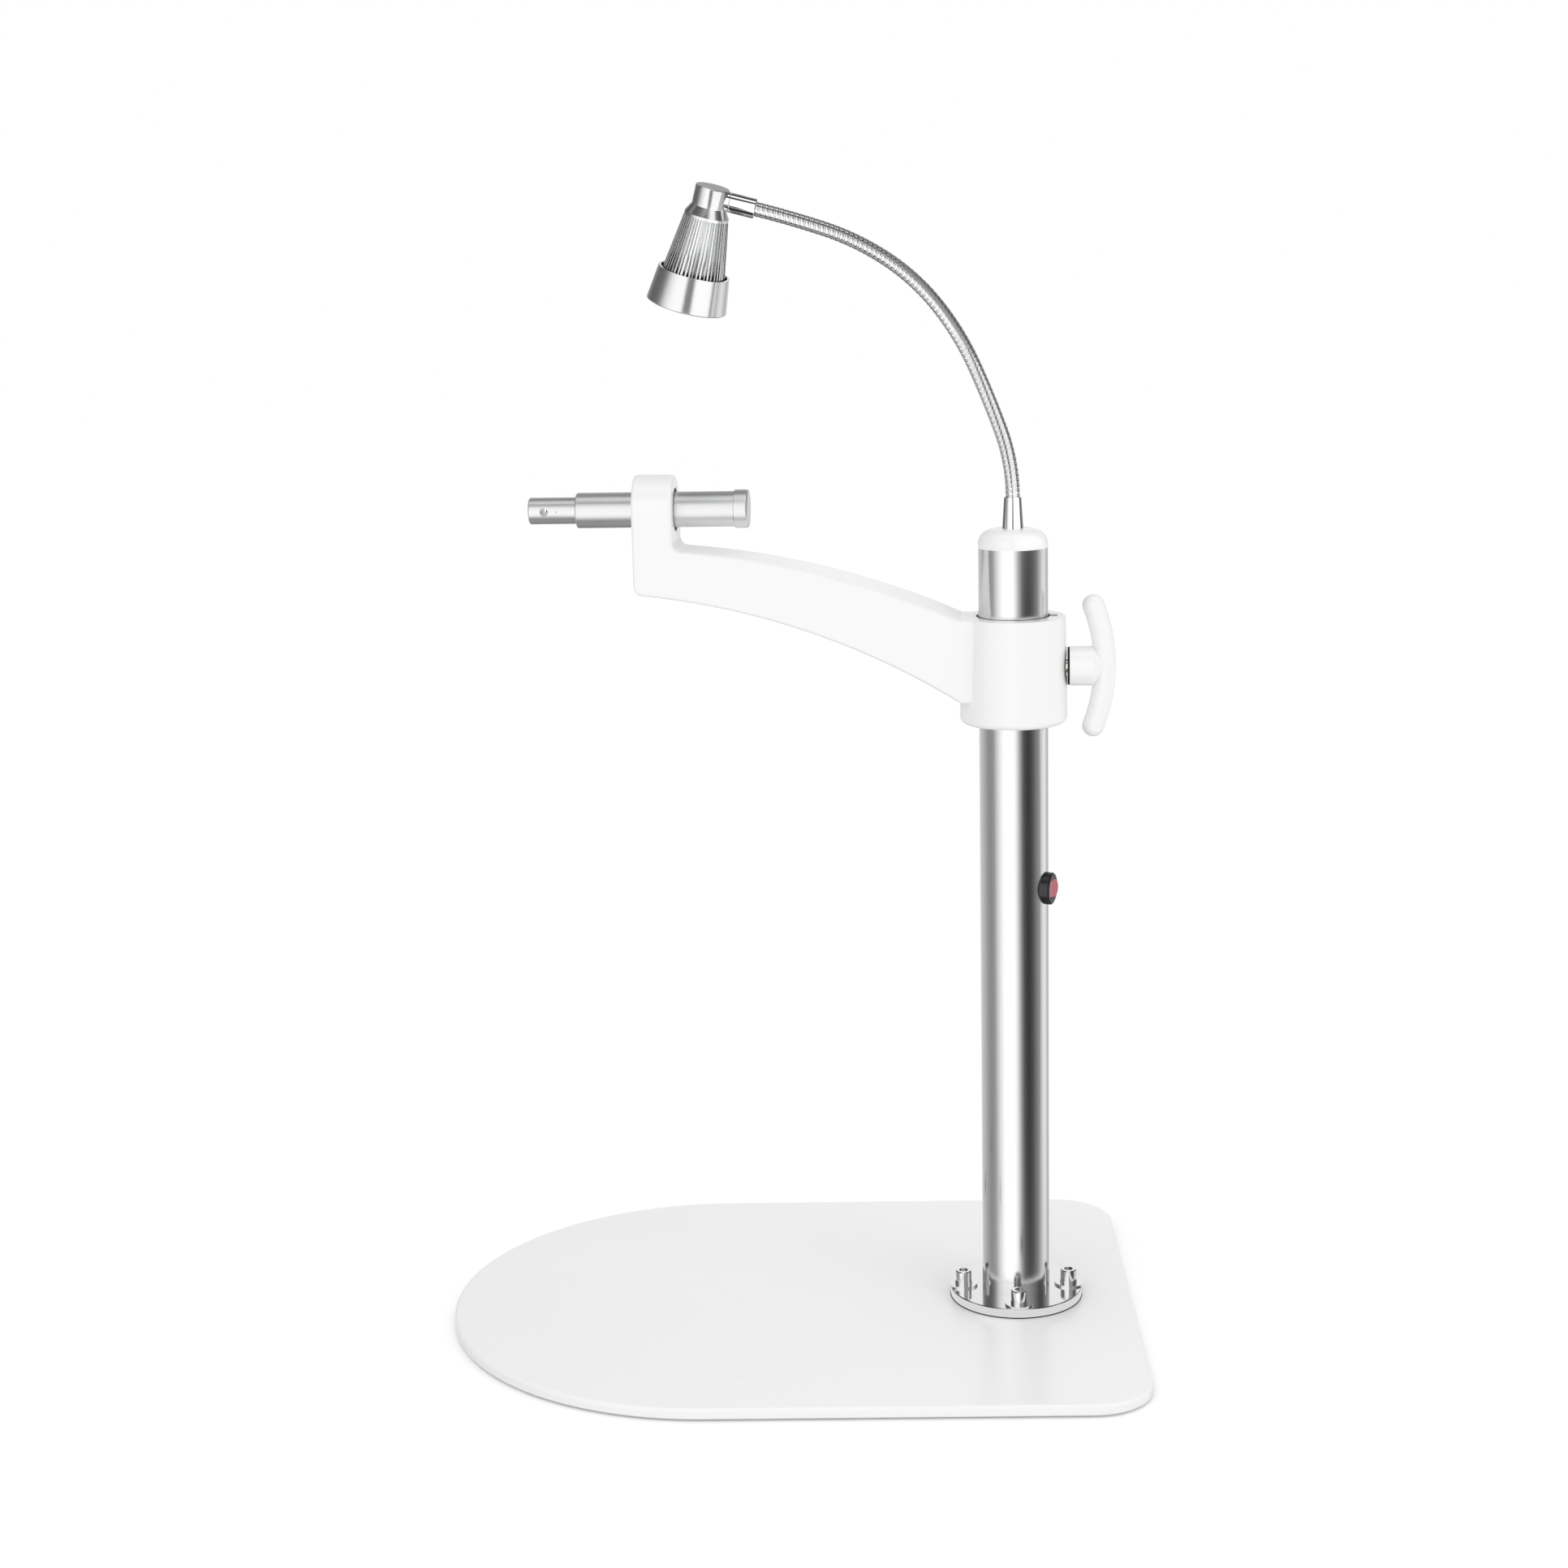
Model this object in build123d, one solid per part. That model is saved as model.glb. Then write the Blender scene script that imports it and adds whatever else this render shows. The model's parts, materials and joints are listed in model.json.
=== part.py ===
from build123d import *
import math
import os

# Table stand with an instrument arm and a gooseneck examination lamp.
# Millimetres, +Z up. The origin is on the table, under the middle of the base plate.
# The column stands near the plate's straight edge (+X) and the arm reaches towards -X.

# ---- clearances ----
SEAT = 0.05             # radial play of pieces that are pressed, screwed or glued together
RUN = 0.05              # radial play of a piece that turns or slides in another
BALL_RUN = 0.1          # radial play of the ball joints in the gooseneck

# ---- base plate and its pads ----
PLATE_LENGTH = 508.0
PLATE_WIDTH = 394.0
PLATE_THICK = 8.0
PLATE_CORNER_R = 44.0
PLATE_TOP_ROUND = 2.5
PLATE_UNDER_CHAMFER = 0.8
PAD_R = 15.0
PAD_THICK = 2.5
PAD_RECESS = 1.0
PAD_INSET = 34.0        # from the plate's edge to a pad's centre

# ---- column and its flange ----
COLUMN_EDGE = 86.2      # from the plate's straight edge to the column's axis
COLUMN_R = 25.0
COLUMN_WALL = 3.0
COLUMN_LENGTH = 561.0
FLANGE_RIM = 24.0       # how far the flange stands out round the column
FLANGE_THICK = 7.4
FLANGE_LIP = 2.0        # lip under the column's foot
FLANGE_EDGE = 0.6
SCREW_OUT = 14.3        # from the column's surface to a flange screw's axis
SCREW_COUNT = 4
SCREW_R = 3.95
SCREW_HEAD_R = 5.95
SCREW_HEAD_H = 7.9
SCREW_HEAD_EDGE = 0.66
SCREW_HEX = 6.35
SCREW_HEX_DEPTH = 4.0
SCREW_TIP_GAP = 0.5     # from the screw's tip to the plate's underside
SCREW_HOLE_R = 4.5
FLAT_WASHER_R = 10.5
FLAT_WASHER_THICK = 1.6
SPRING_WASHER_R = 6.3
SPRING_WASHER_THICK = 2.0
SPRING_WASHER_SPLIT = 1.2
SPRING_WASHER_SLANT = 25.0      # degrees, of the split
SPRING_WASHER_TURN = -60.0      # degrees, where the split lies

# ---- rocker switch in the column ----
SWITCH_HEIGHT = 325.0
SWITCH_TURN = -21.0     # degrees about the column, from +X towards -Y
SWITCH_BEZEL_R = 11.75
SWITCH_BEZEL_OUT = 4.5  # how far the bezel stands out of the column
SWITCH_BEZEL_ROUND = 1.8
SWITCH_BARREL_R = 9.95
SWITCH_DEPTH = 19.0     # barrel's length inside the column's outer surface
ROCKER_WIDTH = 13.0
ROCKER_HALF = 8.3
ROCKER_PROUD = 0.4      # of the rocker's ends beyond the bezel's face, before its tilt
ROCKER_DIP = 1.1        # of the shallow V in its face
ROCKER_SKIRT = 3.4
ROCKER_ROOT = 2.5       # from the pivot to the rocker's inner side
ROCKER_ROOT_HALF = 4.6
ROCKER_SIDE_GAP = 0.15
ROCKER_END_GAP = 1.0
ROCKER_TILT = 7.0
ROCKER_PIVOT_IN = 5.5   # pivot's depth under the bezel's face
ROCKER_PIN_R = 1.2
ROCKER_PIN_LENGTH = 0.9
ROCKER_PIN_SEAT = 1.2   # depth of the pin's seats in the well's sides
TERMINAL_SIZE = (8.0, 0.8, 4.8)
TERMINAL_PITCH = 7.0

# ---- power inlet at the back of the column ----
JACK_HEIGHT = 62.0
JACK_R = 4.0
JACK_FLANGE_R = 5.6
JACK_FLANGE_OUT = 2.0
JACK_DEPTH = 13.0
JACK_BORE_R = 2.75
JACK_BORE_DEPTH = 9.5
JACK_PIN_R = 1.05
JACK_NUT_FLATS = 10.0
JACK_NUT_THICK = 2.5
JACK_NUT_DROP = 0.95    # from the tube's inner wall to the nut
DRIVER_LENGTH = 64.0
DRIVER_HEIGHT = 150.0   # underside of the lamp's power module
DRIVER_CHAMFER = 1.5
DRIVER_SLOT_WIDTH = 9.0
DRIVER_SLOT_DEPTH = 6.0

# ---- cap, and the fixing of the gooseneck ----
CAP_HEIGHT = 14.0
CAP_SHOULDER_R = 11.0
CAP_CROWN = 1.4         # rise of the crown above the shoulder
CAP_SPIGOT = 8.0
FERRULE_BASE_WALL = 2.4
FERRULE_TOP_WALL = 1.05
FERRULE_HEIGHT = 21.5
FERRULE_SOCKET = 12.0
FERRULE_STEM_R = 4.0
FERRULE_STEM_LENGTH = 29.5
WIRE_BORE_R = 2.4
NECK_NUT_FLATS = 13.0
NECK_NUT_THICK = 5.0

# ---- gooseneck ----
NECK_R = 5.2
NECK_BORE_R = 2.5
NECK_LINK = 48.5
NECK_TURNS = (20.0, 4.0, 14.0, 18.0, 15.0, 4.0)     # bend of each link at rest, degrees
NECK_GAP = 1.1          # between links, so that each joint bends by its range
NECK_BALL_R = 3.4
NECK_STALK_R = 2.6
NECK_WIRE_R = 1.4
NECK_SOCKET = 5.5
NECK_STALK = 4.0
NECK_TAIL = 10.0
COLLAR_WALL = 1.8
COLLAR_START = 0.6      # straight neck left free beyond the last link's bend
COLLAR_LENGTH = 18.8
COLLAR_OVER_NECK = 4.0
COLLAR_ROUND = 0.7
STEM_R = 4.0
STEM_GAP = 1.0
STEM_IN_COLLAR = 14.0
STEM_BORE_R = 2.2

# ---- lamp head, depths measured down from its top ----
HEAD_ROLL = 10.0        # turn of the head about the gooseneck's end, degrees
CAP_OVER_COLLAR = 0.7   # height of the head's top above the collar
CAP_NECK_R = 12.15
CAP_FLARE_RISE = 1.2    # how far above the collar's lowest line the cap starts to flare
CAP_FLARE = 6.0
CAP_SKIRT = 2.0
CAP_EDGE = 0.4
CAP_BORE_R = 8.0
CAP_ROOF = 2.5
SINK_TOP_R = 15.8
SINK_SLOPE = 0.163      # growth in radius for each millimetre down
SINK_DEPTH = 71.5
SINK_BASE_THICK = 3.6
SINK_CORE_TOP_R = 12.0
SINK_CORE_END_R = 14.5
SINK_SPIGOT = 7.0
FIN_COUNT = 40
FIN_THICK = 1.15
BEZEL_TOP_DEPTH = 60.1
BEZEL_END_DEPTH = 85.0
BEZEL_TOP_R = 25.35
BEZEL_END_R = 28.75
BEZEL_WALL = 1.6
BEZEL_LIP_R = 24.6
BEZEL_LIP_THICK = 1.2
BEZEL_EDGE_R = 0.8
LENS_THICK = 2.0
BOARD_R = 20.0
BOARD_THICK = 1.6
LED_R = 3.5
LED_HEIGHT = 1.6
REFLECTOR_HOLE_R = 5.0
REFLECTOR_WALL = 1.0
GASKET_THICK = 0.8
GASKET_WIDTH = 2.0

# ---- arm, measured from the column's axis and up from the hub's underside ----
ARM_SWIVEL = -4.0       # turn of the arm about the column at rest, degrees
HUB_HEIGHT_AT = 446.5   # hub's underside above the table
HUB_HEIGHT = 77.0
HUB_WALL_LOW = 13.7     # hub's radius less the column's, at its underside
HUB_WALL_HIGH = 12.4    # and at its top
HUB_ROUND_LOW = 4.5
HUB_ROUND_HIGH = 1.2
ARM_THICK = 50.0
ARM_EDGE_R = 2.5
ARM_FLARE_R = 5.0       # hollow where the arm's sides meet the hub
ARM_ROOT_LOW = 17.2     # arm's underside where it meets the hub
ARM_ROOT_IN = 0.4       # how far the arm's root lies inside the hub's surface
ARM_TIP_HIGH = 128.0    # arm's top where it meets the bracket
ARM_TIP_LOW = 96.7
ARM_TOP_BULGE = 9.2
ARM_LOW_BULGE = 14.5
BRACKET_REACH = 254.9
BRACKET_WIDTH = 29.0
BRACKET_CORNER_R = 7.0
BRACKET_ROOT_R = 6.5
SHAFT_HIGH = 155.5      # instrument shaft's axis
BUSH_WALL = 1.5
BUSH_LENGTH = 20.0
BUSH_INSET = 1.0

# ---- clamp: shoe, stud and T-handle ----
CLAMP_HIGH = 40.5       # clamp's axis above the hub's underside
SHOE_THICK = 3.85
SHOE_WIDTH = 9.8
SHOE_HEIGHT = 24.0
SHOE_SIDE_GAP = 0.1
SHOE_TRAVEL = 2.25
SHOE_END_GAP = 0.15
INSERT_R = 8.0
INSERT_LENGTH = 6.2
STUD_R = 4.95
STUD_TIP_R = 3.0
STUD_TIP = 2.0
STUD_IN_BOSS = 12.0
BOSS_R = 14.25
BOSS_GAP = 2.0
BOSS_NECK = 6.0         # length over which the boss narrows into the bar
BOSS_NECK_R = 7.5
HANDLE_WASHER_R = 13.6
HANDLE_WASHER_THICK = 1.5
BAR_OUT = 26.2          # bar's middle from the hub's surface
BAR_CENTRES = 86.8      # between the centres of the bar's rounded ends
BAR_ARC_R = 120.6
BAR_R = 8.0

# ---- instrument shaft, its lock and its bushes ----
SHAFT_R = 12.7
SPIGOT_R = 9.525
SPIGOT_LENGTH = 34.5
SHAFT_LEFT = 346.0      # spigot's end, left of the column's axis
SHAFT_RIGHT = 197.7     # end of the full diameter, left of the column's axis
SHAFT_EDGE = 0.7
SHAFT_BUSH_WALL = 2.8
SHAFT_BUSH_LENGTH = 10.0
SHAFT_BUSH_INSET = 0.8
CROSS_HOLE_R = 2.85
CROSS_HOLE_IN = 11.6    # from the spigot's end
DIMPLE_IN = 20.7
DIMPLE_R = 0.6
ROD_R = 3.0
ROD_TIP_AT = 0.1        # tip's place right of the cross hole's axis
ROD_IN_KNOB = 5.0       # leaves the rod its travel inside the knob
KNOB_R = 13.75
KNOB_LENGTH = 9.9
KNOB_ROUND = 1.6
KNOB_SEAM = 0.3
KNOB_JOURNAL_R = 8.0
KNOB_JOURNAL = 6.0
KNOB_FLOOR = 1.2
RING_THICK = 1.0
RING_DEPTH = 0.6        # of the snap ring in the shaft's groove
RING_PLAY = 0.1
BRAKE_R = 3.0
BRAKE_PAD_THICK = 2.2
BRAKE_SCREW_LENGTH = 8.0
BRAKE_HEX = 3.0
BRAKE_HEX_DEPTH = 3.0

# ---- heights and places that follow from the sizes above ----
PLATE_Z = PAD_THICK - PAD_RECESS
PLATE_TOP = PLATE_Z + PLATE_THICK
FLANGE_TOP = PLATE_TOP + FLANGE_THICK
FLANGE_R = COLUMN_R + FLANGE_RIM
COLUMN_X = PLATE_LENGTH / 2 - COLUMN_EDGE
COLUMN_FOOT = PLATE_TOP + FLANGE_LIP
COLUMN_TOP = COLUMN_FOOT + COLUMN_LENGTH
COLUMN_BORE_R = COLUMN_R - COLUMN_WALL
CAP_TOP = COLUMN_TOP + CAP_HEIGHT
FERRULE_BASE_R = NECK_R + FERRULE_BASE_WALL
FERRULE_TOP_R = NECK_R + FERRULE_TOP_WALL
NECK_START = CAP_TOP + FERRULE_HEIGHT
COLLAR_R = NECK_R + COLLAR_WALL
HEAD_TOP = COLLAR_R + CAP_OVER_COLLAR
CAP_NECK_DEPTH = HEAD_TOP + COLLAR_R - CAP_FLARE_RISE
CAP_FLARE_DEPTH = CAP_NECK_DEPTH + CAP_FLARE
CAP_DEPTH = CAP_FLARE_DEPTH + CAP_SKIRT
NECK_END = COLLAR_START + COLLAR_OVER_NECK
COLLAR_END = COLLAR_START + COLLAR_LENGTH
HEAD_REACH = COLLAR_END + STEM_GAP + CAP_NECK_R
BUSH_IN_R = COLUMN_R + RUN
BUSH_OUT_R = BUSH_IN_R + BUSH_WALL
HUB_BORE_R = BUSH_OUT_R + RUN
HUB_R_LOW = COLUMN_R + HUB_WALL_LOW
HUB_R_HIGH = COLUMN_R + HUB_WALL_HIGH
SHOE_FACE = COLUMN_R + RUN
SHOE_BACK = SHOE_FACE + SHOE_THICK
POCKET_END = SHOE_BACK + SHOE_TRAVEL + SHOE_END_GAP
BOSS_FACE = HUB_R_LOW - (HUB_R_LOW - HUB_R_HIGH) * CLAMP_HIGH / HUB_HEIGHT + BOSS_GAP
BAR_REACH = HUB_R_LOW + BAR_OUT
BOSS_END = BAR_REACH - BAR_R
SHAFT_BUSH_R = SHAFT_R + SHAFT_BUSH_WALL
SHAFT_BORE_R = SHAFT_BUSH_R + SEAT
CROSS_HOLE_X = -SHAFT_LEFT + CROSS_HOLE_IN
KNOB_FACE = -SHAFT_RIGHT + KNOB_SEAM
KNOB_END = KNOB_FACE + KNOB_LENGTH
ROD_TIP = CROSS_HOLE_X + ROD_TIP_AT
ROD_END = KNOB_FACE + ROD_IN_KNOB
BRAKE_FLOOR = SHAFT_R + RUN

column_place = Pos(COLUMN_X, 0, 0)
arm_place = Pos(COLUMN_X, 0, HUB_HEIGHT_AT) * Rot(0, 0, ARM_SWIVEL)
shaft_place = arm_place * Pos(0, 0, SHAFT_HIGH)
switch_place = Pos(COLUMN_X, 0, SWITCH_HEIGHT) * Rot(0, 0, SWITCH_TURN)
jack_place = Pos(COLUMN_X, 0, JACK_HEIGHT) * Rot(0, 0, 90)


# ---- helpers ----
def upright(radius, low, high):
    """Cylinder about Z between two heights."""
    return Pos(0, 0, low) * Cylinder(radius, high - low, align=(Align.CENTER, Align.CENTER, Align.MIN))


def lying(radius, start, end):
    """Cylinder about X between two places on it."""
    return Pos(start, 0, 0) * Rot(0, 90, 0) * Cylinder(
        radius, end - start, align=(Align.CENTER, Align.CENTER, Align.MIN)
    )


def turned(points):
    """Solid of revolution about Z from a closed outline of (radius, height) points."""
    return revolve(Plane.XZ * make_face(Polyline(*points, close=True)), Axis.Z)


def hexagon(flats, thick):
    """Upright hexagonal prism standing on the XY plane."""
    return extrude(RegularPolygon(flats / 2, 6, major_radius=False), thick)


def group(solids):
    """Several separate solids of one node."""
    return Part() + solids


# ---- base ----
def plate_outline():
    """Straight right end with rounded corners, full half-round left end."""
    half = PLATE_WIDTH / 2
    block = Pos(half / 2, 0) * Rectangle(PLATE_LENGTH - half, PLATE_WIDTH)
    block = fillet(block.vertices().group_by(Axis.X)[-1], PLATE_CORNER_R)
    return block + Pos(half - PLATE_LENGTH / 2, 0) * Circle(half)


def pad_spots():
    """One pad under the round end, four along the long sides."""
    half = PLATE_WIDTH / 2
    side = half - PAD_INSET
    right = PLATE_LENGTH / 2 - PLATE_CORNER_R
    left = half - PLATE_LENGTH / 2
    return [(PAD_INSET - PLATE_LENGTH / 2, 0), (left, side), (left, -side), (right, side), (right, -side)]


def screw_spots():
    """Places of the flange screws about the column."""
    return [column_place * spot for spot in PolarLocations(COLUMN_R + SCREW_OUT, SCREW_COUNT)]


def base_plate():
    plate = Pos(0, 0, PLATE_Z) * extrude(plate_outline(), PLATE_THICK)
    plate = fillet(plate.faces().sort_by(Axis.Z)[-1].edges(), PLATE_TOP_ROUND)
    plate = chamfer(plate.faces().sort_by(Axis.Z)[0].edges(), PLATE_UNDER_CHAMFER)
    recess = upright(PAD_R + SEAT, PLATE_Z - 1, PLATE_Z + PAD_RECESS)
    plate -= [Pos(x, y, 0) * recess for x, y in pad_spots()]
    plate -= [spot * upright(SCREW_R + SEAT, 0, PLATE_TOP + 1) for spot in screw_spots()]
    return plate


def base_pads():
    pad = upright(PAD_R, 0, PAD_THICK)
    return group([Pos(x, y, 0) * pad for x, y in pad_spots()])


def column_flange():
    flange = upright(FLANGE_R, PLATE_TOP, FLANGE_TOP)
    flange = chamfer(flange.edges().filter_by(GeomType.CIRCLE), FLANGE_EDGE)
    flange -= upright(COLUMN_R + SEAT, COLUMN_FOOT, FLANGE_TOP + 1)
    flange -= upright(COLUMN_BORE_R, PLATE_TOP - 1, COLUMN_FOOT)
    flange = column_place * flange
    return flange - [spot * upright(SCREW_HOLE_R, 0, FLANGE_TOP + 1) for spot in screw_spots()]


def flange_screw():
    """Socket-head cap screw with its head's underside on the spring washer."""
    seat = FLANGE_TOP + FLAT_WASHER_THICK + SPRING_WASHER_THICK
    head = upright(SCREW_HEAD_R, seat, seat + SCREW_HEAD_H)
    head = chamfer(head.edges().sort_by(Axis.Z)[-1], SCREW_HEAD_EDGE)
    socket = Pos(0, 0, seat + SCREW_HEAD_H - SCREW_HEX_DEPTH) * hexagon(SCREW_HEX, SCREW_HEX_DEPTH + 1)
    return head - socket + upright(SCREW_R, PLATE_Z + SCREW_TIP_GAP, seat)


def flange_screws():
    return group([spot * flange_screw() for spot in screw_spots()])


def flange_flat_washers():
    washer = upright(FLAT_WASHER_R, FLANGE_TOP, FLANGE_TOP + FLAT_WASHER_THICK)
    washer -= upright(SCREW_R + SEAT, 0, FLANGE_TOP + FLAT_WASHER_THICK + 1)
    return group([spot * washer for spot in screw_spots()])


def flange_spring_washers():
    low = FLANGE_TOP + FLAT_WASHER_THICK
    washer = upright(SPRING_WASHER_R, low, low + SPRING_WASHER_THICK)
    washer -= upright(SCREW_R + SEAT, 0, low + SPRING_WASHER_THICK + 1)
    split = Box(SPRING_WASHER_R, SPRING_WASHER_SPLIT, 3 * SPRING_WASHER_THICK)
    split = Rot(SPRING_WASHER_SLANT, 0, 0) * split
    washer -= Pos(SPRING_WASHER_R, 0, low + SPRING_WASHER_THICK / 2) * split
    return group([spot * Rot(0, 0, SPRING_WASHER_TURN) * washer for spot in screw_spots()])


# ---- column ----
def column_tube():
    tube = upright(COLUMN_R, COLUMN_FOOT, COLUMN_TOP)
    tube -= upright(COLUMN_BORE_R, COLUMN_FOOT - 1, COLUMN_TOP + 1)
    tube = column_place * tube
    tube -= switch_place * lying(SWITCH_BARREL_R + SEAT, 0, COLUMN_R + 1)
    tube -= jack_place * lying(JACK_R + SEAT, 0, COLUMN_R + 1)
    return tube


def column_cap():
    shoulder = CAP_HEIGHT - CAP_CROWN
    outline = Polyline((0, 0), (COLUMN_R, 0), (COLUMN_R, shoulder), (0, CAP_HEIGHT), close=True)
    face = make_face(outline)
    corner = face.vertices().sort_by_distance((COLUMN_R, shoulder))[0]
    cap = Pos(0, 0, COLUMN_TOP) * revolve(Plane.XZ * fillet(corner, CAP_SHOULDER_R), Axis.Z)
    cap += upright(COLUMN_BORE_R - SEAT, COLUMN_TOP - CAP_SPIGOT, COLUMN_TOP)
    cap -= upright(FERRULE_STEM_R + SEAT, COLUMN_TOP - CAP_SPIGOT - 1, CAP_TOP + 1)
    cap -= upright(FERRULE_BASE_R + SEAT, CAP_TOP - CAP_CROWN / 2, CAP_TOP + 1)
    return column_place * cap


def neck_ferrule_lower():
    seat = CAP_TOP - CAP_CROWN / 2
    body = turned([(0, seat), (FERRULE_BASE_R, seat), (FERRULE_TOP_R, NECK_START), (0, NECK_START)])
    body += upright(FERRULE_STEM_R, seat - FERRULE_STEM_LENGTH, seat)
    body -= upright(NECK_R + RUN, NECK_START - FERRULE_SOCKET, NECK_START + 1)
    body -= upright(WIRE_BORE_R, seat - FERRULE_STEM_LENGTH - 1, NECK_START)
    return column_place * body


def neck_nut():
    low = COLUMN_TOP - CAP_SPIGOT - NECK_NUT_THICK
    nut = Pos(0, 0, low) * hexagon(NECK_NUT_FLATS, NECK_NUT_THICK)
    return column_place * (nut - upright(FERRULE_STEM_R + SEAT, low - 1, COLUMN_TOP))


def led_driver():
    """Potted power module on a round sled that slides into the tube."""
    low = DRIVER_HEIGHT
    sled = upright(COLUMN_BORE_R - SEAT, low, low + DRIVER_LENGTH)
    sled = chamfer(sled.edges().filter_by(GeomType.CIRCLE), DRIVER_CHAMFER)
    slot = Box(DRIVER_SLOT_WIDTH, 2 * DRIVER_SLOT_DEPTH, DRIVER_LENGTH + 2)
    slot = Pos(0, COLUMN_BORE_R, low + DRIVER_LENGTH / 2) * slot
    return column_place * (sled - slot)


# ---- switch ----
def rocker_window(gap):
    """Round-ended well of the rocker, from the bezel's face inwards, in the switch's frame."""
    face = COLUMN_R + SWITCH_BEZEL_OUT
    depth = 2 * ROCKER_PIVOT_IN
    well = lying(ROCKER_HALF + ROCKER_END_GAP + gap, face - depth, face + 1)
    side = Box(4 * COLUMN_R, 4 * COLUMN_R, ROCKER_WIDTH + 2 * (ROCKER_SIDE_GAP + gap))
    return well & side


def switch_body():
    face = COLUMN_R + SWITCH_BEZEL_OUT
    bezel = lying(SWITCH_BEZEL_R, COLUMN_BORE_R, face)
    bezel = fillet(bezel.edges().sort_by(Axis.X)[-1], SWITCH_BEZEL_ROUND)
    bezel -= upright(COLUMN_R + SEAT, -2 * COLUMN_R, 2 * COLUMN_R)
    body = bezel + lying(SWITCH_BARREL_R, COLUMN_R - SWITCH_DEPTH, COLUMN_R + 1)
    body -= rocker_window(0)
    pin_half = ROCKER_WIDTH / 2 + ROCKER_PIN_SEAT
    pin = upright(ROCKER_PIN_R + RUN, -pin_half, pin_half)
    return switch_place * (body - Pos(face - ROCKER_PIVOT_IN, 0, 0) * pin)


def switch_rocker():
    """Rocker with a shallow V face, pressed down on the side towards -Y."""
    top = ROCKER_PIVOT_IN + ROCKER_PROUD
    outline = Polyline(
        (-ROCKER_ROOT, -ROCKER_ROOT_HALF),
        (top - ROCKER_SKIRT, -ROCKER_HALF),
        (top, -ROCKER_HALF),
        (top - ROCKER_DIP, 0),
        (top, ROCKER_HALF),
        (top - ROCKER_SKIRT, ROCKER_HALF),
        (-ROCKER_ROOT, ROCKER_ROOT_HALF),
        close=True,
    )
    block = Pos(0, 0, -ROCKER_WIDTH / 2) * extrude(make_face(outline), ROCKER_WIDTH)
    pin_half = ROCKER_WIDTH / 2 + ROCKER_PIN_LENGTH
    block = (block & lying(ROCKER_HALF, -ROCKER_PIVOT_IN, 2 * ROCKER_PIVOT_IN)) + upright(
        ROCKER_PIN_R, -pin_half, pin_half
    )
    pivot = COLUMN_R + SWITCH_BEZEL_OUT - ROCKER_PIVOT_IN
    return switch_place * Pos(pivot, 0, 0) * Rot(0, 0, -ROCKER_TILT) * block


def switch_terminals():
    inner = COLUMN_R - SWITCH_DEPTH
    blade = Pos(inner - TERMINAL_SIZE[0] / 2, 0, 0) * Box(*TERMINAL_SIZE)
    offsets = (-TERMINAL_PITCH / 2, TERMINAL_PITCH / 2)
    return group([switch_place * Pos(0, 0, z) * blade for z in offsets])


# ---- power inlet ----
def power_jack():
    outer = COLUMN_R + JACK_FLANGE_OUT
    flange = lying(JACK_FLANGE_R, COLUMN_BORE_R, outer)
    flange = fillet(flange.edges().sort_by(Axis.X)[-1], JACK_FLANGE_OUT / 4)
    flange -= upright(COLUMN_R + SEAT, -COLUMN_R, COLUMN_R)
    jack = flange + lying(JACK_R, outer - JACK_DEPTH, COLUMN_R + 1)
    jack -= lying(JACK_BORE_R, outer - JACK_BORE_DEPTH, outer + 1)
    return jack_place * jack


def power_jack_pin():
    outer = COLUMN_R + JACK_FLANGE_OUT
    return jack_place * lying(JACK_PIN_R, outer - JACK_BORE_DEPTH, outer - JACK_FLANGE_OUT / 2)


def power_jack_nut():
    end = COLUMN_BORE_R - JACK_NUT_DROP
    nut = Pos(end - JACK_NUT_THICK, 0, 0) * Rot(0, 90, 0) * hexagon(JACK_NUT_FLATS, JACK_NUT_THICK)
    return jack_place * (nut - lying(JACK_R + SEAT, 0, COLUMN_R))


# ---- gooseneck ----
def neck_joints():
    """(x, z, heading) of each link's start, and of the last link's end.

    The heading is the angle from straight up towards -X.
    """
    x, z, heading = 0.0, NECK_START, 0.0
    spots = [(x, z, heading)]
    for turn in NECK_TURNS:
        bend_r = NECK_LINK / math.radians(turn)
        start, end = math.radians(heading), math.radians(heading + turn)
        x += bend_r * (math.cos(end) - math.cos(start))
        z += bend_r * (math.sin(end) - math.sin(start))
        heading += turn
        spots.append((x, z, heading))
    return spots


def neck_frame(spot):
    """Location at a joint: local Z runs along the neck, local X lies in its plane."""
    x, z, heading = spot
    return Pos(COLUMN_X + x, 0, z) * Rot(0, -heading, 0)


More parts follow.
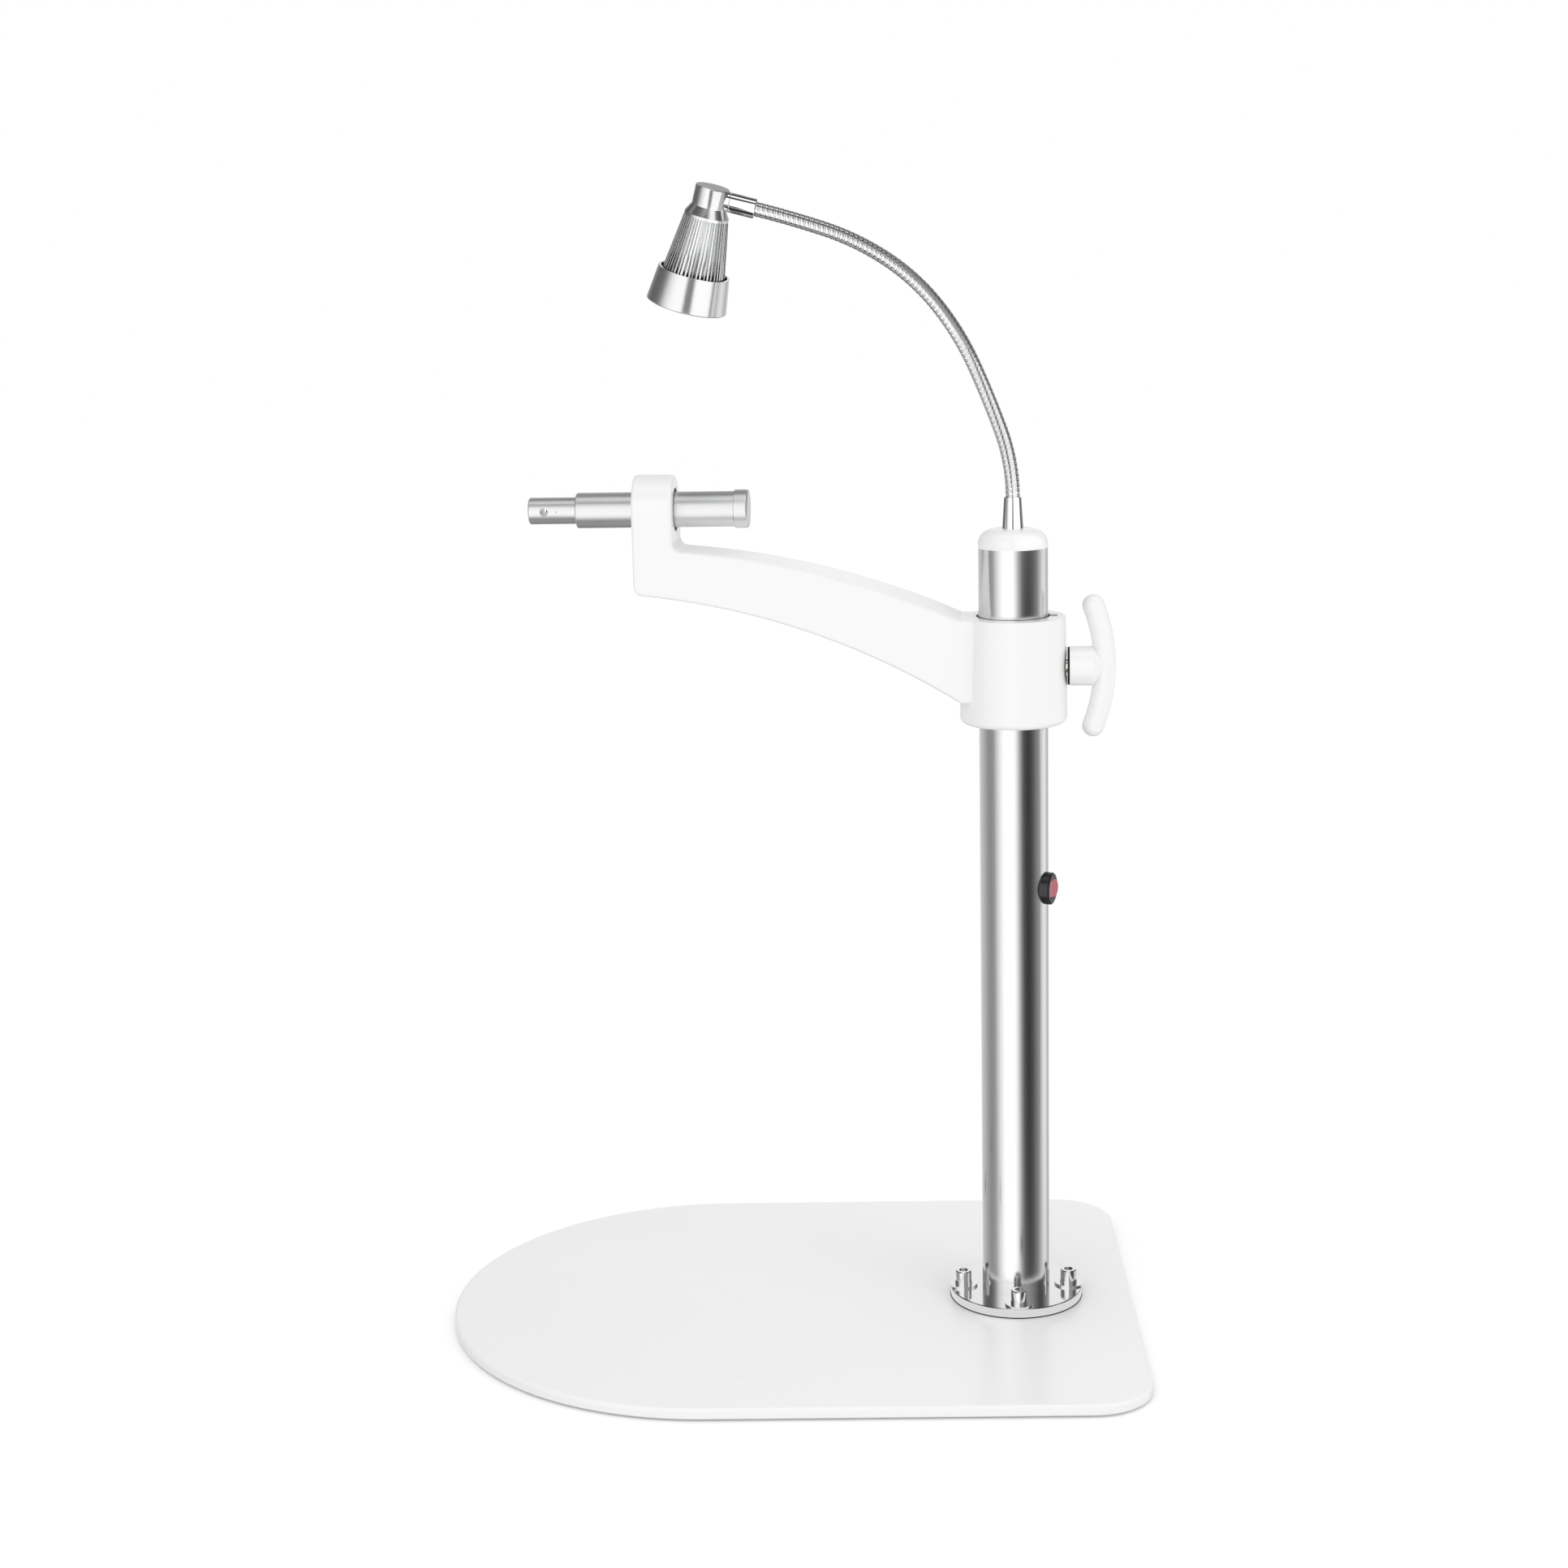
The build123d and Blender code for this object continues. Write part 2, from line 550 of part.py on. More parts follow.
def neck_link(index):
    """One bent tube of the gooseneck, with a socket below and a ball above."""
    spots = neck_joints()
    turn = NECK_TURNS[index]
    bend_r = NECK_LINK / math.radians(turn)
    last = index == len(NECK_TURNS) - 1
    trim_low = 0 if index == 0 else NECK_GAP / 2
    trim_high = 0 if last else NECK_GAP / 2
    arc = turn * (NECK_LINK - trim_low - trim_high) / NECK_LINK
    skip = turn * trim_low / NECK_LINK
    centre = Axis((-bend_r, 0, 0), (0, -1, 0))
    tube = revolve(Circle(NECK_R) - Circle(NECK_BORE_R), centre, arc)
    tube = Pos(-bend_r, 0, 0) * Rot(0, -skip, 0) * Pos(bend_r, 0, 0) * tube
    if index == 0:
        tube += upright(NECK_R, -NECK_TAIL, 0) - upright(NECK_BORE_R, -NECK_TAIL - 1, 1)
    else:
        tube -= upright(NECK_BALL_R + BALL_RUN, 0, NECK_SOCKET)
    link = neck_frame(spots[index]) * tube
    if last:
        tail = upright(NECK_R, 0, NECK_END) - upright(NECK_BORE_R, -1, NECK_END + 1)
        return link + neck_frame(spots[index + 1]) * tail
    ball = upright(NECK_STALK_R, -NECK_STALK, 0) + Sphere(NECK_BALL_R)
    ball -= upright(NECK_WIRE_R, -NECK_STALK - 1, NECK_BALL_R + 1)
    return link + neck_frame(spots[index + 1]) * ball


def neck_ferrule_upper():
    """Plain collar on the gooseneck's end, with a bore for the head's stem."""
    collar = upright(COLLAR_R, COLLAR_START, COLLAR_END)
    collar = fillet(collar.edges().filter_by(GeomType.CIRCLE), COLLAR_ROUND)
    collar -= upright(NECK_R + SEAT, COLLAR_START - 1, NECK_END)
    collar -= upright(STEM_R + RUN, NECK_END - 1, COLLAR_END + 1)
    return neck_frame(neck_joints()[-1]) * collar


# ---- lamp head, built about its own upright axis with the gooseneck coming in from local +X ----
def head_frame():
    x, z, heading = neck_joints()[-1]
    lean = math.radians(heading)
    hub = Pos(COLUMN_X + x - HEAD_REACH * math.sin(lean), 0, z + HEAD_REACH * math.cos(lean))
    return hub * Rot(0, 90 - heading, 0) * Rot(HEAD_ROLL, 0, 0) * Pos(0, 0, HEAD_TOP)


def cap_blank(gap):
    """Outside of the head's cap, or with a gap the space kept free for it."""
    return turned([
        (0, 0),
        (CAP_NECK_R + gap, 0),
        (CAP_NECK_R + gap, -CAP_NECK_DEPTH),
        (SINK_TOP_R + gap, -CAP_FLARE_DEPTH),
        (SINK_TOP_R + gap, -CAP_DEPTH),
        (0, -CAP_DEPTH),
    ])


def head_cap():
    cap = cap_blank(0)
    cap = chamfer(cap.edges().sort_by(Axis.Z)[-1], CAP_EDGE)
    cap -= upright(CAP_BORE_R, -CAP_DEPTH - 1, -CAP_ROOF)
    cap -= Pos(0, 0, -HEAD_TOP) * lying(STEM_R + SEAT, 0, CAP_NECK_R + 1)
    return head_frame() * cap


def swivel_stem():
    """Hollow stem from the head into the collar, with a saddle that closes the gap to the cap."""
    saddle = lying(COLLAR_R, 0, CAP_NECK_R + STEM_GAP - RUN)
    saddle -= Pos(0, 0, HEAD_TOP) * cap_blank(SEAT)
    end = CAP_NECK_R + STEM_GAP + STEM_IN_COLLAR
    stem = lying(STEM_R, CAP_BORE_R, end) + saddle
    stem -= lying(STEM_BORE_R, 0, end + 1)
    return head_frame() * Pos(0, 0, -HEAD_TOP) * stem


def heat_sink():
    """Turned core and base with thin fins that widen towards the light."""
    base_low = -SINK_DEPTH - SINK_BASE_THICK
    base_r = bezel_inner_r(SINK_DEPTH) - SEAT
    core = turned([
        (0, -CAP_DEPTH + SINK_SPIGOT),
        (CAP_BORE_R - SEAT, -CAP_DEPTH + SINK_SPIGOT),
        (CAP_BORE_R - SEAT, -CAP_DEPTH),
        (SINK_CORE_TOP_R, -CAP_DEPTH),
        (SINK_CORE_END_R, -SINK_DEPTH),
        (base_r, -SINK_DEPTH),
        (base_r, base_low),
        (0, base_low),
    ])
    fin_end_r = SINK_TOP_R + SINK_SLOPE * (SINK_DEPTH - CAP_DEPTH)
    outline = Polyline(
        (SINK_CORE_TOP_R - 1, -CAP_DEPTH),
        (SINK_TOP_R, -CAP_DEPTH),
        (fin_end_r, -SINK_DEPTH),
        (SINK_CORE_TOP_R - 1, -SINK_DEPTH),
        close=True,
    )
    fin = extrude(Plane.XZ * make_face(outline), FIN_THICK / 2, both=True)
    fins = [Rot(0, 0, turn * 360 / FIN_COUNT) * fin for turn in range(FIN_COUNT)]
    return head_frame() * (core + fins)


def bezel_outer_r(depth):
    share = (depth - BEZEL_TOP_DEPTH) / (BEZEL_END_DEPTH - BEZEL_TOP_DEPTH)
    return BEZEL_TOP_R + share * (BEZEL_END_R - BEZEL_TOP_R)


def bezel_inner_r(depth):
    return bezel_outer_r(depth) - BEZEL_WALL


def head_bezel():
    """Open-topped ring round the fins' lower ends, with a lip that holds the lens."""
    land_top = SINK_DEPTH
    land_low = SINK_DEPTH + SINK_BASE_THICK
    land_r = bezel_inner_r(land_top)
    lip_top = BEZEL_END_DEPTH - BEZEL_LIP_THICK
    ring = turned([
        (bezel_inner_r(BEZEL_TOP_DEPTH), -BEZEL_TOP_DEPTH),
        (BEZEL_TOP_R, -BEZEL_TOP_DEPTH),
        (BEZEL_END_R, -BEZEL_END_DEPTH),
        (BEZEL_LIP_R, -BEZEL_END_DEPTH),
        (BEZEL_LIP_R, -lip_top),
        (bezel_inner_r(lip_top), -lip_top),
        (bezel_inner_r(land_low + 1), -land_low - 1),
        (land_r, -land_low),
        (land_r, -land_top),
    ])
    ring = fillet(ring.edges().sort_by(Axis.Z)[:2].sort_by(SortBy.RADIUS)[-1:], BEZEL_EDGE_R)
    return head_frame() * ring


def led_board():
    top = -SINK_DEPTH - SINK_BASE_THICK
    return head_frame() * upright(BOARD_R, top - BOARD_THICK, top)


def led_chip():
    top = -SINK_DEPTH - SINK_BASE_THICK - BOARD_THICK
    chip = upright(LED_R, top - LED_HEIGHT, top)
    return head_frame() * fillet(chip.edges().sort_by(Axis.Z)[0], LED_HEIGHT / 2)


def lens_depth():
    """Depth of the lens's upper face."""
    return BEZEL_END_DEPTH - BEZEL_LIP_THICK - LENS_THICK


def lens_r():
    return bezel_inner_r(lens_depth()) - SEAT


def reflector():
    """Thin cone from the light source to the gasket."""
    top = SINK_DEPTH + SINK_BASE_THICK + BOARD_THICK
    low = lens_depth() - GASKET_THICK
    rim = lens_r() - GASKET_WIDTH
    cone = turned([
        (REFLECTOR_HOLE_R, -top),
        (REFLECTOR_HOLE_R + REFLECTOR_WALL, -top),
        (lens_r() - REFLECTOR_WALL, -low + REFLECTOR_WALL),
        (lens_r() - REFLECTOR_WALL, -low),
        (rim, -low),
        (REFLECTOR_HOLE_R, -top - REFLECTOR_WALL),
    ])
    return head_frame() * cone


def lens_gasket():
    low = -lens_depth()
    outer = lens_r() - REFLECTOR_WALL
    gasket = upright(outer, low, low + GASKET_THICK) - upright(outer - GASKET_WIDTH, low - 1, 0)
    return head_frame() * gasket


def lens():
    low = -lens_depth() - LENS_THICK
    return head_frame() * upright(lens_r(), low, low + LENS_THICK)


# ---- arm, built with the column's axis as Z and the hub's underside at zero ----
def arm_side():
    """Side view of the arm and its bracket, in the XZ plane."""
    left = -BRACKET_REACH - BRACKET_WIDTH / 2
    right = left + BRACKET_WIDTH
    top = SHAFT_HIGH + ARM_THICK / 2
    tip = (right, ARM_TIP_HIGH)
    root_reach = HUB_R_HIGH - ARM_ROOT_IN
    root = (-root_reach, HUB_HEIGHT)
    low_root = (-root_reach, ARM_ROOT_LOW)
    low_tip = (left, ARM_TIP_LOW)
    inside = -COLUMN_R / 2
    outline = Line(low_tip, (left, top))
    outline += Line((left, top), (right, top))
    outline += Line((right, top), tip)
    outline += SagittaArc(tip, root, ARM_TOP_BULGE)
    outline += Polyline(root, (inside, HUB_HEIGHT), (inside, ARM_ROOT_LOW), low_root)
    outline += SagittaArc(low_root, low_tip, -ARM_LOW_BULGE)
    face = make_face(outline)
    corner = face.vertices().sort_by_distance(low_tip)[0]
    face = fillet(corner, BRACKET_CORNER_R)
    inner = face.vertices().sort_by_distance(tip)[0]
    return fillet(inner, BRACKET_ROOT_R)


def arm_front():
    """Front view along X: as wide as the arm, round over the shaft."""
    half = ARM_THICK / 2
    flank = Pos(0, SHAFT_HIGH / 2) * Rectangle(ARM_THICK, SHAFT_HIGH)
    return flank + Pos(0, SHAFT_HIGH) * Circle(half)


def arm_plan():
    """Plan of the arm, flaring into a disc that stays just inside the hub's surface."""
    reach = BRACKET_REACH + BRACKET_WIDTH
    plan = Pos(-reach / 2, 0) * Rectangle(reach, ARM_THICK) + Circle(HUB_R_HIGH - SEAT)
    near_side = plan.vertices().filter_by_position(Axis.X, -HUB_R_HIGH, 0)
    return fillet(near_side, ARM_FLARE_R)


def arm_blank():
    """Arm and bracket with their long edges rounded, before the hub joins them."""
    body = extrude(Plane.XZ * arm_side(), HUB_R_LOW, both=True)
    body &= extrude(arm_plan(), 2 * SHAFT_HIGH)
    reach = BRACKET_REACH + BRACKET_WIDTH
    front = arm_front() + Pos(0, HUB_HEIGHT / 2) * Rectangle(2 * HUB_R_LOW, HUB_HEIGHT)
    body &= Pos(-reach, 0, 0) * extrude(Plane.YZ * front, reach)
    straight = body.edges().filter_by(Axis.Y)
    seams = body.edges().filter_by(Axis.X).filter_by_position(Axis.Z, SHAFT_HIGH - 1, SHAFT_HIGH + 1)
    crown = body.edges().filter_by(Axis.X).filter_by_position(Axis.Z, SHAFT_HIGH + 2, 2 * SHAFT_HIGH)
    rounded = [edge for edge in body.edges() if edge not in straight + seams + crown]
    return fillet(rounded, ARM_EDGE_R)


def hub_blank():
    outline = Polyline((0, 0), (HUB_R_LOW, 0), (HUB_R_HIGH, HUB_HEIGHT), (0, HUB_HEIGHT), close=True)
    face = make_face(outline)
    low = face.vertices().sort_by_distance((HUB_R_LOW, 0))[0]
    face = fillet(low, HUB_ROUND_LOW)
    high = face.vertices().sort_by_distance((HUB_R_HIGH, HUB_HEIGHT))[0]
    return revolve(Plane.XZ * fillet(high, HUB_ROUND_HIGH), Axis.Z)


def arm_casting():
    casting = hub_blank() + arm_blank()
    casting -= upright(HUB_BORE_R, -1, HUB_HEIGHT + 1)
    pocket_low = CLAMP_HIGH - SHOE_HEIGHT / 2 - SHOE_SIDE_GAP
    pocket_width = SHOE_WIDTH + 2 * SHOE_SIDE_GAP
    pocket = Box(
        POCKET_END, pocket_width, HUB_HEIGHT, align=(Align.MIN, Align.CENTER, Align.MIN)
    )
    casting -= Pos(0, 0, pocket_low) * pocket
    casting -= Pos(0, 0, CLAMP_HIGH) * lying(INSERT_R + SEAT, 0, HUB_R_LOW + 1)
    bracket_left = -BRACKET_REACH - BRACKET_WIDTH
    casting -= Pos(0, 0, SHAFT_HIGH) * lying(SHAFT_BORE_R, bracket_left, -BRACKET_REACH + BRACKET_WIDTH)
    brake = Rot(-90, 0, 0) * upright(BRAKE_R + SEAT, 0, ARM_THICK)
    casting -= Pos(-BRACKET_REACH, 0, SHAFT_HIGH) * brake
    return arm_place * casting


def arm_bush(low):
    """Thin plain bearing ring between the column and the hub."""
    ring = upright(BUSH_OUT_R, low, low + BUSH_LENGTH) - upright(BUSH_IN_R, low - 1, low + BUSH_LENGTH + 1)
    return arm_place * ring


def thread_insert():
    start = POCKET_END
    insert = lying(INSERT_R, start, start + INSERT_LENGTH)
    insert -= lying(STUD_R + RUN, 0, start + INSERT_LENGTH + 1)
    return arm_place * Pos(0, 0, CLAMP_HIGH) * insert


# ---- clamp ----
def clamp_shoe():
    half = SHOE_HEIGHT / 2
    block = Box(SHOE_BACK, SHOE_WIDTH, SHOE_HEIGHT, align=(Align.MIN, Align.CENTER, Align.CENTER))
    shoe = block - upright(SHOE_FACE, -half - 1, half + 1)
    shoe -= lying(STUD_TIP_R + RUN, SHOE_BACK - STUD_TIP - RUN, SHOE_BACK + 1)
    return arm_place * Pos(0, 0, CLAMP_HIGH) * shoe


def clamp_stud():
    shank_end = BOSS_FACE + STUD_IN_BOSS
    stud = lying(STUD_R, SHOE_BACK, shank_end) + lying(STUD_TIP_R, SHOE_BACK - STUD_TIP, SHOE_BACK)
    return arm_place * Pos(0, 0, CLAMP_HIGH) * stud


def clamp_handle():
    """Round boss that narrows into the curved bar across its end."""
    sag = BAR_ARC_R - math.sqrt(BAR_ARC_R**2 - (BAR_CENTRES / 2) ** 2)
    low = (BAR_REACH - sag, 0, -BAR_CENTRES / 2)
    high = (BAR_REACH - sag, 0, BAR_CENTRES / 2)
    spine = ThreePointArc(low, (BAR_REACH, 0, 0), high)
    start = Plane(origin=low, z_dir=spine % 0)
    bar = sweep(start * Circle(BAR_R), path=spine)
    bar += Pos(*low) * Sphere(BAR_R)
    bar += Pos(*high) * Sphere(BAR_R)
    neck = Cone(BOSS_R, BOSS_NECK_R, BOSS_NECK, align=(Align.CENTER, Align.CENTER, Align.MIN))
    handle = bar + lying(BOSS_R, BOSS_FACE, BOSS_END) + Pos(BOSS_END, 0, 0) * Rot(0, 90, 0) * neck
    handle -= lying(STUD_R + SEAT, 0, BOSS_FACE + STUD_IN_BOSS)
    return arm_place * Pos(0, 0, CLAMP_HIGH) * handle


def handle_washer():
    """Black ring on the boss's face, towards the hub."""
    start = BOSS_FACE - HANDLE_WASHER_THICK
    washer = lying(HANDLE_WASHER_R, start, BOSS_FACE) - lying(STUD_R + SEAT, start - 1, BOSS_FACE + 1)
    return arm_place * Pos(0, 0, CLAMP_HIGH) * washer


# ---- instrument shaft ----
def shaft_bush(left):
    bush = lying(SHAFT_BUSH_R, left, left + SHAFT_BUSH_LENGTH)
    bush -= lying(SHAFT_R + RUN, left - 1, left + SHAFT_BUSH_LENGTH + 1)
    return shaft_place * bush


def brake_pad():
    pad = upright(BRAKE_R, 0, BRAKE_FLOOR + BRAKE_PAD_THICK)
    pad = Rot(-90, 0, 0) * pad - lying(BRAKE_FLOOR, -2 * BRAKE_R, 2 * BRAKE_R)
    return shaft_place * Pos(-BRACKET_REACH, 0, 0) * pad


def brake_screw():
    low = BRAKE_FLOOR + BRAKE_PAD_THICK
    screw = upright(BRAKE_R, low, low + BRAKE_SCREW_LENGTH)
    screw -= Pos(0, 0, low + BRAKE_SCREW_LENGTH - BRAKE_HEX_DEPTH) * hexagon(BRAKE_HEX, BRAKE_HEX_DEPTH + 1)
    return shaft_place * Pos(-BRACKET_REACH, 0, 0) * Rot(-90, 0, 0) * screw


def knob_ring_place():
    """Middle of the snap ring along the shaft."""
    return KNOB_FACE + KNOB_JOURNAL / 2


def instrument_shaft():
    left = -SHAFT_LEFT
    step = left + SPIGOT_LENGTH
    right = -SHAFT_RIGHT
    spigot = lying(SPIGOT_R, left, step)
    spigot = chamfer(spigot.edges().sort_by(Axis.X)[0], SHAFT_EDGE)
    body = lying(SHAFT_R, step, right)
    body = chamfer(body.edges().sort_by(Axis.X)[0], SHAFT_EDGE)
    shaft = spigot + body + lying(KNOB_JOURNAL_R, right, KNOB_FACE + KNOB_JOURNAL)
    ring_left = knob_ring_place() - RING_THICK / 2
    groove = lying(SHAFT_R, ring_left, ring_left + RING_THICK)
    groove -= lying(KNOB_JOURNAL_R - RING_DEPTH, ring_left - 1, ring_left + 1 + RING_THICK)
    shaft -= groove
    shaft -= lying(ROD_R + RUN, CROSS_HOLE_X, 0)
    shaft -= Pos(CROSS_HOLE_X, 0, 0) * Rot(90, 0, 0) * Cylinder(CROSS_HOLE_R, 3 * SPIGOT_R)
    dimple = Pos(left + DIMPLE_IN, -SPIGOT_R, 0) * Sphere(DIMPLE_R)
    return shaft_place * (shaft - dimple)


def knob_snap_ring():
    left = knob_ring_place() - RING_THICK / 2
    outer = KNOB_JOURNAL_R + RING_DEPTH
    ring = lying(outer, left, left + RING_THICK)
    ring -= lying(KNOB_JOURNAL_R - RING_DEPTH, left - 1, left + RING_THICK + 1)
    ring -= Pos(left, 0, outer) * Box(4 * RING_THICK, 2 * RING_DEPTH, 2 * outer)
    return shaft_place * ring


def draw_rod():
    """Lock rod with a round tip that looks into the cross hole."""
    rod = lying(ROD_R, ROD_TIP + ROD_R, ROD_END)
    return shaft_place * (rod + Pos(ROD_TIP + ROD_R, 0, 0) * Sphere(ROD_R))


def shaft_knob():
    knob = lying(KNOB_R, KNOB_FACE, KNOB_END)
    knob = fillet(knob.edges().sort_by(Axis.X)[-1], KNOB_ROUND)
    knob -= lying(KNOB_JOURNAL_R + RUN, KNOB_FACE - 1, KNOB_FACE + KNOB_JOURNAL + RING_PLAY)
    ring_left = knob_ring_place() - RING_THICK / 2 - RING_PLAY
    ring_r = KNOB_JOURNAL_R + RING_DEPTH + RING_PLAY
    knob -= lying(ring_r, ring_left, ring_left + RING_THICK + 2 * RING_PLAY)
    knob -= lying(ROD_R + RUN, KNOB_FACE, KNOB_END - KNOB_FLOOR)
    return shaft_place * knob


# ---- all nodes ----
def build_nodes():
    bush_top = HUB_HEIGHT - BUSH_INSET - BUSH_LENGTH
    bracket_left = -BRACKET_REACH - BRACKET_WIDTH / 2
    bush_right = bracket_left + BRACKET_WIDTH - SHAFT_BUSH_INSET - SHAFT_BUSH_LENGTH
    nodes = {
        "base_plate": base_plate(),
        "base_pads": base_pads(),
        "column_flange": column_flange(),
        "flange_screws": flange_screws(),
        "flange_flat_washers": flange_flat_washers(),
        "flange_spring_washers": flange_spring_washers(),
        "column_tube": column_tube(),
        "column_cap": column_cap(),
        "led_driver": led_driver(),
        "switch_body": switch_body(),
        "switch_rocker": switch_rocker(),
        "switch_terminals": switch_terminals(),
        "power_jack": power_jack(),
        "power_jack_pin": power_jack_pin(),
        "power_jack_nut": power_jack_nut(),
        "neck_ferrule_lower": neck_ferrule_lower(),
        "neck_nut": neck_nut(),
        "neck_ferrule_upper": neck_ferrule_upper(),
        "head_cap": head_cap(),
        "swivel_stem": swivel_stem(),
        "heat_sink": heat_sink(),
        "head_bezel": head_bezel(),
        "led_board": led_board(),
        "led_chip": led_chip(),
        "reflector": reflector(),
        "lens_gasket": lens_gasket(),
        "lens": lens(),
        "arm_casting": arm_casting(),
        "arm_bush_lower": arm_bush(BUSH_INSET),
        "arm_bush_upper": arm_bush(bush_top),
        "thread_insert": thread_insert(),
        "clamp_shoe": clamp_shoe(),
        "clamp_stud": clamp_stud(),
        "clamp_handle": clamp_handle(),
        "handle_washer": handle_washer(),
        "shaft_bush_left": shaft_bush(bracket_left + SHAFT_BUSH_INSET),
        "shaft_bush_right": shaft_bush(bush_right),
        "brake_pad": brake_pad(),
        "brake_screw": brake_screw(),
        "instrument_shaft": instrument_shaft(),
        "knob_snap_ring": knob_snap_ring(),
        "draw_rod": draw_rod(),
        "shaft_knob": shaft_knob(),
    }
    for index in range(len(NECK_TURNS)):
        nodes[f"neck_link_{index + 1}"] = neck_link(index)
    return nodes


def main():
    os.makedirs("parts", exist_ok=True)
    for name, shape in build_nodes().items():
        export_step(shape, f"parts/{name}.step")


main()
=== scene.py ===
import json
import math

import bpy
from mathutils import Matrix, Vector


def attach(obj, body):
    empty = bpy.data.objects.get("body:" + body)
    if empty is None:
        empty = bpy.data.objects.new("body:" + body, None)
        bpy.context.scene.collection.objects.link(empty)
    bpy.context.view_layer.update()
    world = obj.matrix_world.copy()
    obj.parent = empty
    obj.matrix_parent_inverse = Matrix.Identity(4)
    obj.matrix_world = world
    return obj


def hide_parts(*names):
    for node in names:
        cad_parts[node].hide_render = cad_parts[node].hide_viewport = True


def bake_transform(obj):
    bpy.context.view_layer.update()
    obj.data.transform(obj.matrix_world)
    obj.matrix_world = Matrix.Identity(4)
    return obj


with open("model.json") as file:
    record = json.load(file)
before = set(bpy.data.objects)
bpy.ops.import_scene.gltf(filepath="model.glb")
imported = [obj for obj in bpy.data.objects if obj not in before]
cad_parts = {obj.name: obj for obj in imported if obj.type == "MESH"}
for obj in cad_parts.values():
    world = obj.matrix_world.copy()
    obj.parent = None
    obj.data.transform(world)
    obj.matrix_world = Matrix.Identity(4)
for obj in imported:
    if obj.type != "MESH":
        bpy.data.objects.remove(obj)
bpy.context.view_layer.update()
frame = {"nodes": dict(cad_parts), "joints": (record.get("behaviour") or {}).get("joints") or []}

JOINTS = {joint["name"]: joint for joint in frame["joints"]}
NODES = frame["nodes"]

# Lengths are in metres, and angles in radians unless a comment says degrees.

MERGE = 0.00002                 # points closer than this become one

# ---- places on the lamp ----
COLUMN_X = Vector(JOINTS["arm_swivel"]["pos_m"]).x
SHAFT_Z = 0.602                 # height of the instrument shaft
ARM_TURN = math.radians(-4)
HEAD_PLACE = Vector(JOINTS["head_swivel"]["pos_m"])
HEAD_TURN = (math.radians(10), math.radians(15), 0)

# ---- gooseneck ----
BENDS = 5
HOSE_R = 0.0052
HOSE_GROOVE_R = 0.0048
HOSE_PITCH = 0.00364            # one turn of the wound strip
HOSE_TAIL = 0.0098              # straight length in the lower ferrule
HOSE_END = 0.0044               # straight length in the upper ferrule
HOSE_STEPS = 26                 # faces round the hose
HOSE_SPARE_TURNS = 2            # made past either end, then cut off
HOSE_SMOOTH_ANGLE = math.radians(50)
LINE_STEPS = 24                 # of the bending curve, per joint
BLEND_EDGE = 0.04               # share of a middle piece's length at either end
END_HEADING = math.radians(75)  # of the gooseneck's last joint, from up towards -X

# ---- heat sink, heights from the head's swivel ----
SINK_TOP = -0.0138
SINK_FOOT = -0.0638
SINK_BASE_LOW = -0.0674
SINK_TOP_R = 0.0158
SINK_FOOT_R = 0.02394
SINK_BASE_R = 0.0252
SPIGOT_R = 0.00795              # the spigot in the cap
SPIGOT_HIGH = -0.0068
DISC_SIDES = 96
DISC_OVERLAP = 0.0002           # how far base and spigot reach into the finned part
FIN_COUNT = 50
FIN_FACES = 5                   # faces of the cone for a fin and its slot
SLOT_FACES = 3                  # how many of them become the slot
SLOT_TOP_DEPTH = 0.0024
SLOT_FOOT_DEPTH = 0.0075
FIN_BEVEL = 0.00012
FIN_BEVEL_ANGLE = 0.7           # edges sharper than this are bevelled
FIN_SMOOTH_ANGLE = math.radians(20)

# ---- black ring under the edge of the flange, a painted contact shadow ----
SHADOW_RING_R = 0.0489
SHADOW_RING_Z = 0.0099
SHADOW_RING_THICK = 0.0009
SHADOW_RING_FACES_ROUND = 128
SHADOW_RING_FACES_ACROSS = 10

# ---- camera ----
CAMERA_PLACE = (0.05476, -1.90077, 0.8026)
CAMERA_DEGREES = (-1.6, 11.854, -1.273)     # degrees of yaw, of pitch downwards and of roll
CAMERA_LENS = 61.62                         # millimetres, as is the sensor
CAMERA_SENSOR = 36

# ---- studio ----
LAMP_AIM = (0.05, 0, 0.3)
LAMPS = (
    # name, place, size, watts
    ("soft lamp", (-1.1, -2.6, 1.7), (2.4, 1.8), 11),
    ("side lamp", (2.2, -1.6, 1.1), (1.6, 1.6), 11),
)
FLOOR_SIZE = 12
FLOOR_SHADE = (0.89, 0.91)      # darkest and lightest of the floor's own colour
FLOOR_GLOW = (0.1, 0.2)         # what the camera sees added to it, near and far
FLOOR_REACH = (0.7, 3.5)        # distances for near and far
PLAIN_LEVEL = 0.74              # brightness of the room on matt surfaces
PLAIN_RISE = 0.34               # what its ceiling has more
ROOM_TURN = -3.4                # degrees from the front to the direction of the camera
# Brightness of the room round the metal, by compass direction from the front towards +X, degrees.
ROOM = (
    (-180, 1.25), (-150, 0.72), (-120, 0.55), (-99, 0.36), (-84, 0.30), (-70, 0.36),
    (-57, 0.75), (-45, 1.05), (-33, 1.3), (-11, 1.35), (0, 1.3), (9, 1.0), (18, 0.5),
    (30, 0.09), (45, 0.03), (57, 0.05), (70, 0.13), (84, 0.28), (99, 0.65), (118, 1.05),
    (140, 0.6), (150, 0.5), (165, 1.0), (180, 1.25),
)
